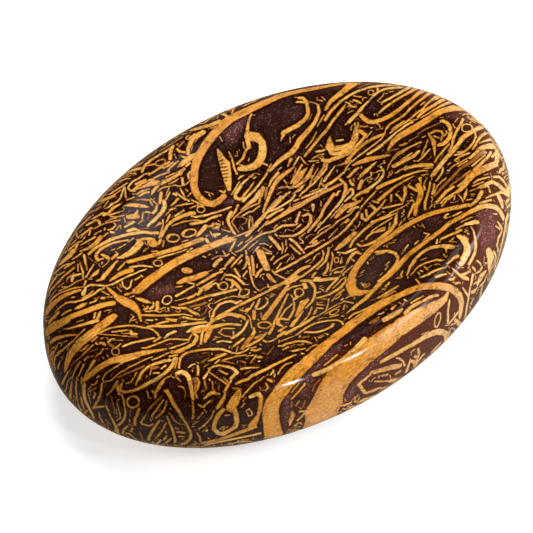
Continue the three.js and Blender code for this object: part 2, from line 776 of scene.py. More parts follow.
SLOPE = (
    bar(3.4, 114, 196, 103, 200, tone=AMBER),
    bar(2.4, 103, 202, 98, 205, tone=RUST),
    bar(1.3, 108, 201, 104, 207),
    horn(2.8, 112, 204, 109, 207, 104, 209),
    bar(2, 120, 204, 113, 208, 108, 214, end=3.4),
    bar(2, 119, 212, 110, 215),
    bar(1.5, 111, 216.5, 117, 217, 124, 215),
    bar(1.2, 123, 207, 124, 210, 120, 212),
    bar(2.5, 100, 207, 96, 210, 91, 212, tone=RUST),
    bar(2.5, 103, 213, 92, 219, end=1.5),
    bar(3.5, 104, 215, 106, 214),
    bar(2.2, 87, 225, 96, 220, 99, 221, 100, 224, end=3),
    bar(1.3, 116, 218, 111, 219, 106, 222),
    bar(1.8, 120, 220, 106, 223, 93, 229, end=1.2, tone=AMBER),
    bar(2.5, 91, 228, 82, 235),
    bar(2.5, 90, 217, 73, 233, tone=RUST),
    bar(1.5, 83, 229, 80, 232, tone=RUST),
    bar(2, 90, 231, 89, 235),
    bar(2.2, 95, 237, 81, 245, end=1.3),
    bar(5, 101, 237, 97, 242, 87, 249, 81, 251, end=2.5, tone=AMBER),
    bar(1.3, 98, 232, 94, 235),
    bar(1.6, 114, 223, 116, 225, 112, 229, 108, 230),
    bar(1.2, 119, 226, 116, 230),
    bar(1.2, 120, 225, 121, 229),
    bar(2.8, 111, 232, 113.5, 232.5, tone=HONEY),
    bar(1.8, 108, 233, 104, 236),
    bar(2.2, 134, 222, 125, 227, tone=HONEY),
    bar(1.2, 132, 221, 127, 223, tone=AMBER),
    bar(1.3, 124, 218, 125, 222),
    bar(5.5, 129, 217, 137, 216),
    horn(4, 136, 214, 138, 210),
    leaf(4.4, 124, 206, 132, 205, 149, 207),
    bar(2, 143, 213.5, 142, 218, tone=HONEY),
    bar(3.6, 128, 231, 134, 229, 139, 230, end=2, tone=HONEY),
    bar(1.3, 141, 229, 148, 228, tone=RUST),
    bar(3.2, 158, 233, 150, 233, 142, 232, 115, 238, 94, 249, 89, 254),
    bar(1.5, 128, 240, 113, 243, 101, 249, 97, 253, 96, 257, 98, 260, end=4),
    bar(2, 98, 260, 103, 258.5),
    bar(4, 103, 255, 108, 258),
    bar(8, 140, 243, 133, 251, 122, 257, 118, 258, end=2.8),
    bar(1.3, 134, 238, 128, 242),
    bar(1.2, 126, 244, 117, 249),
    bar(3, 117, 254, 112, 259),
    bar(3, 84, 255, 86, 265, end=2.2),
    bar(5.5, 73, 251, 69, 256, 62, 262, end=4, tone=AMBER),
    bar(1.5, 82, 241, 77, 243, 69, 250, end=2),
    bar(3, 77, 245, 76, 247),
    bar(1.6, 82, 253, 73, 259),
    bar(1.2, 76, 240, 72, 244),
    bar(2, 74, 262, 65, 268),
    bar(1, 88, 257, 93, 261, tone=RUST),
    bar(2, 118, 261, 112, 266),
)

LOOP_FOOT = (
    bar(1.5, 197, 210, 198, 206, 204, 206, end=1.2),
    ring(201, 209.5, 4, 3, 1.2, tone=HONEY),
    bar(2.2, 184, 210.5, 175, 216, tone=HONEY),
    bar(2.5, 175, 208, 170, 210, 166, 215, end=1.6),
    bar(1.3, 198, 205, 190, 208),
    bar(1.5, 193, 203, 176, 206),
    bar(4, 194, 213, 191, 213, 171, 222, 161, 237, end=2.6),
    bar(2.5, 170, 215, 166, 223, end=1.5),
    bar(1.8, 163, 220, 163, 226, 159, 238),
    bar(2, 231, 207, 214, 213, 196, 217, 192, 216, tone=HONEY),
    bar(2.2, 221, 215, 211, 218, 206, 221, 191, 224, end=3.2),
    bar(2, 203, 221, 196, 220, 182, 222, 172, 226, end=1.5, tone=AMBER),
    ring(173, 238, 6.3, 3.9, 1.7),
    bar(2.6, 168, 238, 170, 235, 174, 235, end=1.2),
    ring(189, 233, 7.3, 3.7, 1.7, -12),
    bar(3, 183, 234, 185, 231, 188, 230, end=1.2),
    bar(4.5, 206, 226, 197, 236, end=3.2),
    bar(5, 202, 239, 175, 249, 128, 262, end=3.8),
    bar(1.1, 188, 240, 182, 242),
    bar(1.2, 187, 249, 180, 252, 158, 258, end=2, tone=HONEY),
    bar(2, 192, 248, 187, 252, tone=HONEY),
    bar(1.8, 157, 251, 152, 251.5),
    bar(6, 232, 239, 213, 245, 178, 261, 161, 272, end=8.5, tone=AMBER),
    bar(9.4, 152, 243, 153, 243, tone=AMBER),
    bar(4.5, 164, 201, 165, 206, 162, 212, 148, 226, end=3, tone=HONEY),
    bar(2.8, 157, 206, 156, 210, 153, 213),
    horn(3, 160, 223, 154, 228),
    bar(4.4, 215, 235, 220, 234, end=2),
    bar(3.2, 206, 239, 208, 242),
    bar(2, 223, 238, 227, 236),
    bar(1.5, 222, 229, 230, 232),
    bar(1.4, 223, 251, 226, 256, 229, 254, tone=HONEY),
    bar(1.5, 212, 259, 218, 256, 224, 256, tone=RUST),
    bar(4, 221, 259, 217, 262, 214, 266),
    ring(158, 263, 4.5, 3, 1.5),
    bar(1.2, 180, 205, 187, 203),
    bar(1.5, 180, 196, 185, 200),
)

TOP_FIELD = (
    bar(3, 299, 98, 303, 98, 306, 101, 308, 113, 304, 120, 298, 125, 283, 133, end=5),
    horn(5, 284, 132, 281, 141),
    bar(2.5, 297, 102, 304, 102),
    bar(0.9, 308, 102, 312, 102, 317, 104),
    bar(3, 318, 105, 319, 112, 313, 125, 299, 141, 296, 147, end=6),
    bar(6, 296, 147, 291, 153, 279, 161, 270, 171, end=2.8),
    bar(1.2, 312, 114, 308, 122, tone=RUST),
    bar(1.8, 324, 115, 317, 127, end=1.2),
    bar(6.5, 352, 84, 345, 90, 330, 102, 326, 110, end=3),
    bar(3, 344, 107, 332, 122, 326, 131, 321, 136, 305, 156),
    bar(1.3, 316, 132, 313, 139, 306, 148, tone=HONEY),
    bar(3, 355, 116, 345, 125, end=1.5),
    bare(12, 340, 108, 318, 122, 300, 112),
)

BOAT = (
    bar(2, 330, 137, 329.5, 147, end=9),
    bar(9, 330, 147, 334, 151, end=11.5),
    bar(11.5, 334, 151, 344, 149, 351, 145, end=7),
    bar(7, 351, 145, 355, 139, 356, 130, end=5.5),
    crack(0.8, 333, 152, 341, 150.5),
    bar(4.4, 323, 160, 329, 161, 336, 158, 350, 152, 363, 139, 366, 134, end=3),
    bar(4.4, 360, 131, 364, 134),
    bar(1.2, 372, 131, 366, 138, tone=HONEY),
    bar(4, 325, 163, 324, 168, 315, 180, tone=AMBER),
    bar(2.2, 327, 164, 326, 169, 317, 180, 311, 186, end=1.6, tone=HONEY),
    bar(1.3, 318, 169, 310, 182),
    bar(1.5, 314, 164, 309, 175, end=4.6),
    bar(4.6, 309, 175, 303, 182, 297, 186, 290, 188, 286, 186, end=1.8),
    bar(2.2, 312, 176, 310, 186, 302, 193, 300, 196),
    leaf(7, 307, 168, 302, 173, 293, 185, tone=AMBER),
    bar(2, 302, 165, 291, 183),
    bar(1.8, 296, 168, 295, 173, 293, 176, tone=RUST),
    bar(3.6, 291, 159, 288, 166, end=2),
    bar(2, 299, 157, 294, 165, tone=HONEY),
    bar(1.4, 301, 157, 305, 163, end=2.2),
    bar(2, 294, 167, 283, 175, end=5, tone=AMBER),
    bar(5, 283, 175, 274, 185, 263, 212, end=2.5, tone=AMBER),
    bar(3.5, 278, 173, 271, 181, 269, 186, end=2),
    bar(1.5, 271, 164, 268, 171, 258, 186, 243, 201, end=3, tone=HONEY),
    bar(5, 263, 188, 261, 196, end=4, tone=AMBER),
    bar(3.6, 260, 198, 259, 203, end=2.6, tone=AMBER),
    bar(3, 267, 188, 265, 199, end=2, tone=RUST),
    bar(1.5, 284, 180, 287, 184),
    leaf(3.2, 305, 184, 299, 190, 293, 194, tone=AMBER),
    bar(2, 290, 192, 286, 194, 283, 198, end=3.4, tone=HONEY),
    bar(4.4, 281, 197, 279, 201, 268, 212, end=2.6),
    bar(2.2, 295, 195, 291, 200, 278, 208, 271, 211, tone=HONEY),
    bar(2.2, 299, 199, 294, 201),
    bar(1.2, 301, 202, 293, 205),
    bar(3, 341, 184, 312, 198, 304, 203, 289, 211, end=5, tone=AMBER),
    bar(5, 289, 211, 266, 225, end=1.8, tone=AMBER),
    bar(3, 326, 188, 302, 198, end=2),
    bar(1.2, 320, 188, 310, 192),
    bar(1.5, 322, 178, 319, 187),
    bar(2, 321, 183, 325, 187),
    bar(2, 343, 173, 335, 180, 326, 186, end=3.8),
    bar(1.3, 335, 166, 324, 181, end=3.2, tone=HONEY),
    bar(1.2, 337, 166, 351, 161, end=3.4, tone=AMBER),
    bar(3, 340, 179, 345, 184, 346, 190, 344, 196, end=4.4),
    bar(3, 344, 196, 338, 205, 315, 231, end=1.1, tone=HONEY),
    bar(1.3, 344, 172, 346, 170, 349, 169),
    bar(3.6, 334, 194, 323, 210, 321, 216, 308, 232, end=2.6, tone=AMBER),
    horn(4, 313, 205, 313, 212, tone=HONEY),
    bar(1.3, 321, 201, 321, 206),
    bar(1.5, 291, 201, 290, 205, tone=RUST),
    bar(1.8, 290, 207, 287, 210),
)

FAR_BANDS = (
    bar(2, 412, 86, 400, 85, 376, 86, 358, 91, 350, 95, end=2.6, tone=HONEY),
    bar(2.6, 350, 95, 340, 102, 332, 110, 325, 120, end=3.4),
    bar(1, 358, 88, 372, 83, 382, 82, tone=RUST),
    bar(1.6, 354, 96, 361, 97),
    ring(371, 92.5, 3, 2.5, 1.2),
    bar(2, 377, 86, 378, 90, 377, 93),
    bar(2.6, 402, 87, 388, 88.5, 378, 92, 370, 99.5, end=2, tone=HONEY),
    bar(2, 370, 99.5, 349, 122, end=4),
    bar(2.4, 413, 85.5, 383, 102),
    bar(2.4, 419, 87, 391, 103, 379, 113),
    bar(3, 424, 91, 419, 93, 396, 112, 383, 119, 369, 122, 361, 115, end=5),
    bar(1.5, 376, 123, 379, 125, 380, 127),
    bar(2.4, 436, 92, 430, 93, 413, 106, 403, 116, 390, 124, 386, 129, tone=AMBER),
    bar(1.3, 421, 105, 425, 102),
    bar(2.4, 437, 96, 426, 105, 423, 109, 418, 112, 405, 123, 399, 126, 390, 133, end=2),
    bar(1.5, 440, 97, 436, 99.5),
    bar(2.6, 446, 98, 423, 112, 418, 117, end=3.2),
    bar(2.4, 452, 102, 441, 106, 421, 118, end=1.8, tone=AMBER),
    bar(1.2, 410, 121, 418, 119),
    bar(1.5, 404, 121, 392, 129, tone=HONEY),
    bar(2, 413, 122, 408, 124, 397, 132, 378, 148, 368, 154, end=3, tone=HONEY),
    bar(5.5, 463, 109, 455, 108, 440, 112, 424, 122, 400, 136, end=7, tone=AMBER),
    bar(7, 400, 136, 394, 141, 388, 150, end=2.2, tone=AMBER),
    bar(2, 456, 103.5, 450, 103),
    bar(1.6, 439, 123, 424, 130, 418, 134, tone=RUST),
    bar(1, 409, 141, 418, 136),
    bar(2, 421, 142, 412, 146, 398, 155, 392, 160, 387, 170, end=1.3),
    bar(1.1, 409, 147, 396, 154, 393, 158),
    bar(1.6, 412, 153, 401, 160),
    bar(3, 419, 151, 415, 155, 394, 166, end=4.4),
    bar(3.2, 432, 165, 415, 166, 405, 169, end=3.4),
    bar(4.4, 431, 165, 420, 165),
    bar(1.8, 398, 149, 392, 150, 386, 153, tone=RUST),
    bar(1.5, 427, 170.5, 420, 171, 404, 176, 398, 179, end=3),
    bar(3, 398, 179, 383, 185, 378, 188, end=4.4),
    bar(1.5, 414, 176, 396, 186, 379, 200, end=4, tone=AMBER),
    bar(1.5, 395, 173.5, 407, 166),
    bar(1.6, 418, 161, 422, 158, 430, 149, tone=HONEY),
    bar(1.5, 428, 140, 422, 155),
    bar(2.5, 424, 153, 422, 157, tone=RUST),
    bar(3, 384, 134, 372, 139, 360, 147, 350, 157, 346, 163, end=4, tone=AMBER),
    bar(1.5, 384, 134, 382, 138, 371, 147, 350, 163, 344, 173, tone=HONEY),
    bar(1.5, 380, 145, 376, 147, tone=RUST),
)

HOOK_CORNER = (
    bar(2, 390, 155, 367, 159.5, end=6, tone=AMBER),
    bar(6, 367, 160, 360, 162, 353, 165, end=2.4, tone=AMBER),
    bar(1.2, 376, 162, 366, 171, end=4.4),
    bar(4.4, 366, 171, 358, 179, end=1.8),
    bar(4.5, 362, 181, 359, 188, end=5, tone=AMBER),
    bar(2.2, 377, 172, 383, 169.5),
    bar(2, 381, 167, 384, 172, 379, 181, 368, 189, end=3.2, tone=HONEY),
    bar(3.6, 368, 189, 356, 196, 353, 199, 356, 200, end=1.8),
    bar(1.5, 379, 174, 378, 177, 375, 180),
    bar(4, 368, 191, 360, 193, end=3, tone=AMBER),
    bar(2, 376, 191, 362, 206, 360, 210, end=1.3),
    bar(3, 351, 189, 353, 190, 353, 194, 345, 201, end=2.2, tone=HONEY),
    bar(2.4, 350, 189, 347, 194),
    bar(3, 360, 201, 354, 204, 347, 206, end=6, tone=AMBER),
    bar(6, 347, 206, 342, 210, 336, 217, end=3.6, tone=AMBER),
    bar(2.4, 396, 194, 400, 198, 403, 203, end=1.5),
    bar(4.4, 405, 188, 405, 194, 403, 201, end=2.6),
    bar(3, 409, 186, 417, 191),
    bar(6.5, 418, 185, 421, 192, 419, 200, 416, 207, 415, 215, end=3.5, tone=AMBER),
    bar(3, 414, 204, 408, 217, end=1.8),
    horn(4, 420, 178, 421, 185),
    bar(1.5, 427, 178, 424, 184),
    bar(2.5, 424, 186, 425, 190),
    bar(1.8, 430, 182, 429, 190, 425, 203, 425, 209, end=2.6),
    bar(2.4, 434, 184, 434, 189, 432, 194),
    bar(2, 383, 208, 402, 204),
    bar(1.2, 407, 205, 390, 213, end=2),
    bar(1.8, 385, 200, 380, 207, 366, 220, end=3.6),
    bar(3.4, 372, 206, 376, 210),
    bar(2.5, 366, 210, 367, 216),
    bar(3, 362, 214, 362, 218, 366, 220),
    bar(1.5, 410, 201, 412, 200, 414, 202),
    bar(1.3, 398, 212, 390, 216, 372, 222, end=3),
    bar(1.6, 392, 218, 377, 227, 372, 231),
    bar(1.8, 397, 214, 395, 224, end=4),
    bar(4, 395, 224, 391, 230, 374, 242, 361, 246, 357, 244, end=2.2),
    bar(1.5, 390, 223, 389, 229),
    bar(2.8, 384, 228, 379, 230),
    bar(1.6, 402, 221, 399, 226),
    bar(1, 413, 218, 409, 219, tone=CREAM),
)

RIGHT_SLOPE = (
    ring(467, 128, 5.5, 4, 1.4, tone=HONEY),
    bar(4, 443, 121, 447, 123, 450, 127, 450, 137, 443, 144, 439, 145, end=4.4),
    bar(2.4, 431, 133, 436, 131, 441, 131, 443, 134, 441, 140, tone=AMBER),
    bar(1.8, 434, 136, 439, 138),
    bar(1.8, 446, 131, 447, 133, 444, 136),
    bar(1.5, 428, 133, 434, 142, end=5, tone=AMBER),
    horn(5, 434, 142, 435, 157, tone=AMBER),
    bar(3, 463, 119, 461, 124, 458, 128, 453, 140, 452, 146, 449, 151, end=2.4),
    bar(2.5, 454, 140, 452, 145, tone=RUST),
    bar(2, 449, 144, 437, 158, 435, 162),
    bar(4, 482, 127, 475, 130, 463, 138, 458, 145, 443, 162, 433, 175, end=4.4),
    bar(1.6, 459, 139, 465, 134),
    bar(1.8, 475, 132, 476, 137, 470, 147, 460, 154, 455, 155, end=2.2, tone=HONEY),
    bar(2, 458, 152, 463, 152),
    bar(3.2, 486, 133, 481, 136, 473, 149, end=2.2),
    bar(2, 497, 141, 490, 139.5, 480, 143, end=1.6),
    bar(5.4, 493, 146, 484, 147, 478, 150, end=4.4, tone=AMBER),
    bar(3, 479, 150, 470, 158, tone=HONEY),
    bar(4.5, 485, 152, 479, 155, 474, 160, 461, 168, end=3, tone=RUST),
    bar(3, 461, 168, 434, 196, end=2.6, tone=RUST),
    bar(1.8, 485, 155, 472, 166, tone=HONEY),
    bar(3, 491, 152, 488, 157, 474, 170),
    bar(3, 497, 150, 495, 155, 492, 157),
    bar(4, 498, 154, 496, 165),
    bar(6, 496, 164, 490, 166, 475, 173, end=8, tone=AMBER),
    bar(8, 475, 173, 470, 177, 462, 188, 457, 192, end=4, tone=AMBER),
    bar(1.6, 494, 148, 499, 153, 502, 160),
    bar(2.4, 469, 153, 459, 157, 455, 160, end=1.8),
    ring(457, 160, 2, 1.6, 1),
    bar(1.4, 468, 158, 455, 165, 450, 169),
    bar(1.8, 467, 161, 458, 166),
    bar(1.5, 453, 124, 455, 128),
    bar(1.2, 458, 118, 455, 122),
    bar(3, 470, 171, 450, 186, end=2, tone=RUST),
    bar(2.4, 443, 168, 442, 173, 436, 181, end=1.5, tone=HONEY),
    bar(1.6, 446, 178, 438, 185, 434, 194, end=1.1),
    bar(2, 489, 177, 478, 180, 474, 183),
    bar(1.8, 483, 182, 473, 186),
    bar(1.5, 484, 186, 470, 191, tone=AMBER),
    bar(2, 466, 179, 458, 186, tone=HONEY),
    bar(1.2, 488, 174, 484, 175),
    bar(3.4, 453, 187, 447, 191, 437, 202),
    bar(2, 456, 192, 445, 199, 441, 203),
    bar(3, 452, 196, 446, 201, 442, 206, end=2, tone=AMBER),
    leaf(3.5, 467, 189, 464, 200, tone=HONEY),
    bar(1.8, 459, 195, 462, 199, 463, 202),
    bar(1.5, 455, 195, 454, 200),
    bar(1.4, 467, 200, 472, 199),
    bar(1.3, 424, 168.5, 432, 167.5),
    bar(1.2, 440, 160, 443, 154, tone=RUST),
    bar(4, 504, 190, 493, 182, 484, 186, 480, 187),
    bar(2.5, 494, 177, 499, 177, 503, 180, 506, 185),
    bar(4.4, 482, 191, 478, 199, 470, 206, end=2.6),
    bar(3.2, 506, 194, 502, 192, 496, 194, 486, 198, end=1.6),
    bar(5, 499, 197, 501, 201, 502, 206, end=4, tone=AMBER),
    bar(2.4, 480, 203, 491, 200),
    bare(3, 487, 190, 495, 189, 500, 190),
    # A painted highlight: the white glint on the dark ground here
    bar(2, 488, 186, 490, 192, tone=CREAM),
)

EYE_RIM = (
    bare(17, 488, 221, 486, 236, end=12),
    bare(8, 483, 246, 479, 255, end=4),
    bare(7, 455, 248, 455, 256),
    bare(7, 430, 255, 440, 256),
    bare(5, 450, 225, 440, 232),
    bar(4.6, 468, 205, 430, 214, 404, 227, 390, 237, end=5.6, tone=AMBER),
    bar(6, 390, 237, 375, 246, 358, 265, 351, 279, 349, 287, 353, 295, end=6.5, tone=AMBER),
    bar(4.6, 503, 217, 497, 208, 484, 206, 470, 212, end=5),
    bar(4.4, 470, 212, 450, 223, 443, 229, 428, 240, end=4.2, tone=AMBER),
    bar(4.2, 428, 240, 406, 257, 396, 269, 382, 281, end=5, tone=AMBER),
    bar(5.5, 452, 247, 443, 246, end=4),
    bar(4, 443, 246, 430, 248, 417, 257, 409, 269, 407, 275, end=2),
    horn(3.4, 446, 247, 446, 253),
    bar(2.5, 417, 257, 412, 266, end=2),
    bar(3, 441, 260, 437, 260, end=2.2),
    bar(2, 437, 259.5, 423, 264, 416, 269, 411, 275, end=1.4),
    bar(2, 446, 267, 434, 271, 428, 274.5, 421, 277, end=2.6),
    bar(3.5, 458, 256, 454, 258, 447, 264, end=1.8),
    # The lip band's pale honey tone is partly a painted highlight, where light washes over the lip
    bar(5, 459, 236, 464, 240, 467, 246, end=7.5, tone=HONEY),
    bar(7.5, 467, 246, 467, 252, 461, 264, end=6, tone=HONEY),
    bar(1.8, 464, 236, 468, 239),
    bar(2, 471, 227, 474, 232, 476, 246, 475, 253, 469, 264, end=3.4, tone=HONEY),
    bar(5, 477, 222, 466, 224, end=3.6, tone=HONEY),
    bar(3, 466, 224, 456, 229, end=1.5),
    bar(1.3, 472, 217, 461, 222),
    bar(2, 461, 212, 453, 216),
    bar(3, 461, 230, 441, 239, end=2.4),
    bar(1.5, 424, 233, 429, 234),
    bar(2.4, 429, 234, 423, 241, end=1.4),
    bar(2, 418, 241, 415, 244),
    bar(1.8, 408, 245, 405, 249, tone=CREAM),
    bar(3, 376, 252, 388, 251, 395, 253, 398, 258, 397, 263, 386, 276, 379, 281, end=3.4),
    bar(1.3, 376, 254.5, 384, 253),
    bar(1.8, 404, 257, 398, 265, end=1),
    # A painted glint
    bar(1.8, 389, 262, 386, 265, tone=CREAM),
    bar(1.4, 388, 266, 385, 270),
    bar(2, 498, 222, 502, 229, end=2.6),
    bar(1.6, 496, 226, 500, 229.5),
    bar(3, 508, 215, 506, 222, 505, 230, 498, 260, 495, 268, tone=HONEY),
    bar(1.6, 502, 231, 498.5, 238, 497, 245, 498, 251, end=2.4),
    bar(8, 489, 253, 491, 258, 490, 263, end=5.5),
    horn(6, 490, 262, 489, 272),
    bar(1.8, 477, 261, 480, 263, 482, 267, 480, 271, 476, 273, tone=HONEY),
    bar(2.8, 473, 267.5, 475, 270),
)

CENTRE = (
    bar(2.8, 238, 205, 236, 210, 231, 218, end=1.8),
    bar(4, 231, 212, 228, 220, 232, 230, 235, 234, end=2.6),
    bar(3.2, 260, 190, 256, 198, end=5, tone=HONEY),
    bar(5.2, 255, 199, 241, 210, end=1.6),
    bar(2.2, 248, 178.5, 243.5, 182.5, 235, 194.5, end=4, tone=HONEY),
    bar(4, 235, 195, 236, 198, 239, 199, 243, 198, end=3),
    bar(2.6, 242.5, 197.5, 254, 182.5, end=1.6),
    bar(1.6, 239.5, 182, 231.5, 194.5, tone=HONEY),
    bare(3, 247, 185, 240, 194),
    bare(4, 236, 178, 230, 187),
    bar(2, 259, 203, 246, 209, 235, 217, 232, 222, 239, 232, end=1.2, tone=AMBER),
    bar(1.8, 260, 206, 251, 212),
    bar(1.6, 250, 211, 242, 216, tone=HONEY),
    bar(1.2, 237, 217, 242, 217, 247, 219, 246, 223, 242, 225, tone=RUST),
    bar(1.8, 250, 216, 249, 228, tone=HONEY),
    bar(2, 252, 217, 253, 226, tone=RUST),
    bar(2.8, 277, 200, 272, 205, 267, 212, end=3),
    bar(3.2, 267, 212, 255, 226, end=5),
    bar(5, 255, 226, 246, 236, end=2.6),
    bar(2.4, 283, 209, 276, 212, 267, 218, end=3.2),
    bar(1.8, 268, 221, 258, 231, end=1.2),
    bar(2.6, 294, 225, 282, 226, 274, 231, 262, 234, 250, 242, 241, 250, 236, 252, end=1.5),
    bar(1.8, 277, 225, 274, 228),
    bar(1.6, 262, 231, 259, 234, tone=RUST),
    bar(1.3, 252, 237, 246, 242),
    bar(2.2, 248, 232, 234, 237, end=1.5),
    bar(1.8, 236, 239, 230, 251, end=2.2),
    bar(1.2, 258, 241, 248, 249),
    bar(1.3, 260, 244, 264, 243.5, 268, 245),
    bar(2.2, 300, 212, 296, 222, end=3.6),
    bar(2.4, 303, 216, 308, 214, 311, 216, 311, 221, 308, 226, end=3.6),
    bar(3.2, 308, 226, 296, 235, 280, 236, end=2),
    bar(1.4, 305, 233, 299, 238, 303, 241, 303, 243, 300, 243),
    bar(3, 290, 239, 295, 242, 304, 253, end=2.2),
    bar(1.8, 290, 245, 300, 254, end=2.2),
    bar(3.4, 270, 237, 275, 242, 280, 249),
    bar(1.5, 282, 243, 283, 248, 282, 254),
    bar(2, 286, 240, 286, 245, tone=RUST),
    bar(1.5, 287, 247, 285, 252),
    bar(1.8, 263, 248, 271, 252, tone=RUST),
    bar(2, 274, 256, 271, 260),
    bar(1.6, 288, 254, 278, 260, 274, 264),
    bar(1.8, 281, 263, 277, 269),
    bar(2.4, 359, 212, 351, 223, 335, 238, 294, 263, 276, 272),
    bar(8.5, 260, 252, 267, 269, end=6, tone=AMBER),
    bar(2, 266, 253, 271, 254),
    bar(3, 252, 256, 254, 275, tone=AMBER),
    bar(2.2, 246, 251, 247, 262, 243, 269),
    bar(2.4, 248, 257, 251, 276),
    bar(2.4, 242, 255, 231, 267, end=1.5, tone=AMBER),
    bar(1.5, 242, 260, 238, 264),
    bar(4, 233, 258, 225, 266, end=2.4, tone=AMBER),
    bar(1.4, 257, 264, 257, 268),
    bar(2.6, 262, 269, 258, 273, 256, 277),
    bar(2, 225, 268, 220, 270),
    bar(3, 235, 269, 240, 277, end=2),
    bar(1.5, 247, 271, 244, 275),
    bare(6, 294, 265, 303, 263),
    bare(7, 215, 262, 200, 266, 186, 276, 160, 292, end=16),
    bare(7, 178, 230, 190, 226),
)

CENTRE_RIGHT = (
    bar(1.5, 343, 204, 331, 218),
    bar(2.6, 358, 207, 352, 208.5, 348, 212),
    bar(1.5, 355, 208, 350, 214, 338, 221, 334, 225, 318, 236, 310, 243, end=2, tone=AMBER),
    bar(3.4, 348, 220, 346, 222),
    bar(1.4, 344, 222, 341, 225),
    bar(1.4, 334, 232, 329, 238),
    bar(1.5, 330, 225, 320, 230, 317, 234, end=1),
    bar(1.2, 321, 222, 317, 226),
    bar(2.6, 318, 243, 312, 246, 307, 247, 305, 249, end=1.8),
    bar(3, 316, 241, 313, 243, tone=AMBER),
    bar(4, 355, 233, 344, 243, end=6, tone=AMBER),
    bar(6, 344, 243, 337, 249, end=3.4, tone=AMBER),
    bar(3.4, 390, 215, 376, 221, 364, 230, 353, 241, 350, 247, end=2.4),
    bar(3, 384, 230, 372, 233, 366, 239, end=1.8),
    bar(3, 355, 249, 346, 253, tone=CREAM),
    bar(1.8, 361, 254, 357, 252, 353, 254, end=3.6, tone=AMBER),
    bar(4, 353, 254, 349, 259, 347, 264, end=1.8, tone=AMBER),
    bar(2, 351, 258, 354, 261, tone=AMBER),
    ring(336.5, 260, 2.2, 2.6, 1.3),
    horn(2.8, 341, 263, 342, 256),
    bar(1.7, 332, 252, 333, 256, 330, 271, tone=AMBER),
    bar(2.8, 329, 249, 326, 260, 317, 269, end=1.8),
    bar(1.8, 322, 250, 324, 254, 322, 260, 317, 265, 304, 275, end=2.4),
    bar(1.8, 328, 263, 328, 268, 325, 273, end=3),
    bar(1.4, 342, 267, 337, 268, 332, 271),
    bar(1.5, 345, 268, 341, 272, 336, 272, end=2.6),
    bar(1.3, 352, 266, 344, 273),
    bar(1, 318, 263, 313, 267),
    bare(8, 375, 268, 366, 282),
    bare(7, 372, 268, 386, 260),
    bare(8, 425, 222, 440, 216),
    bare(6, 400, 241, 420, 230),
)

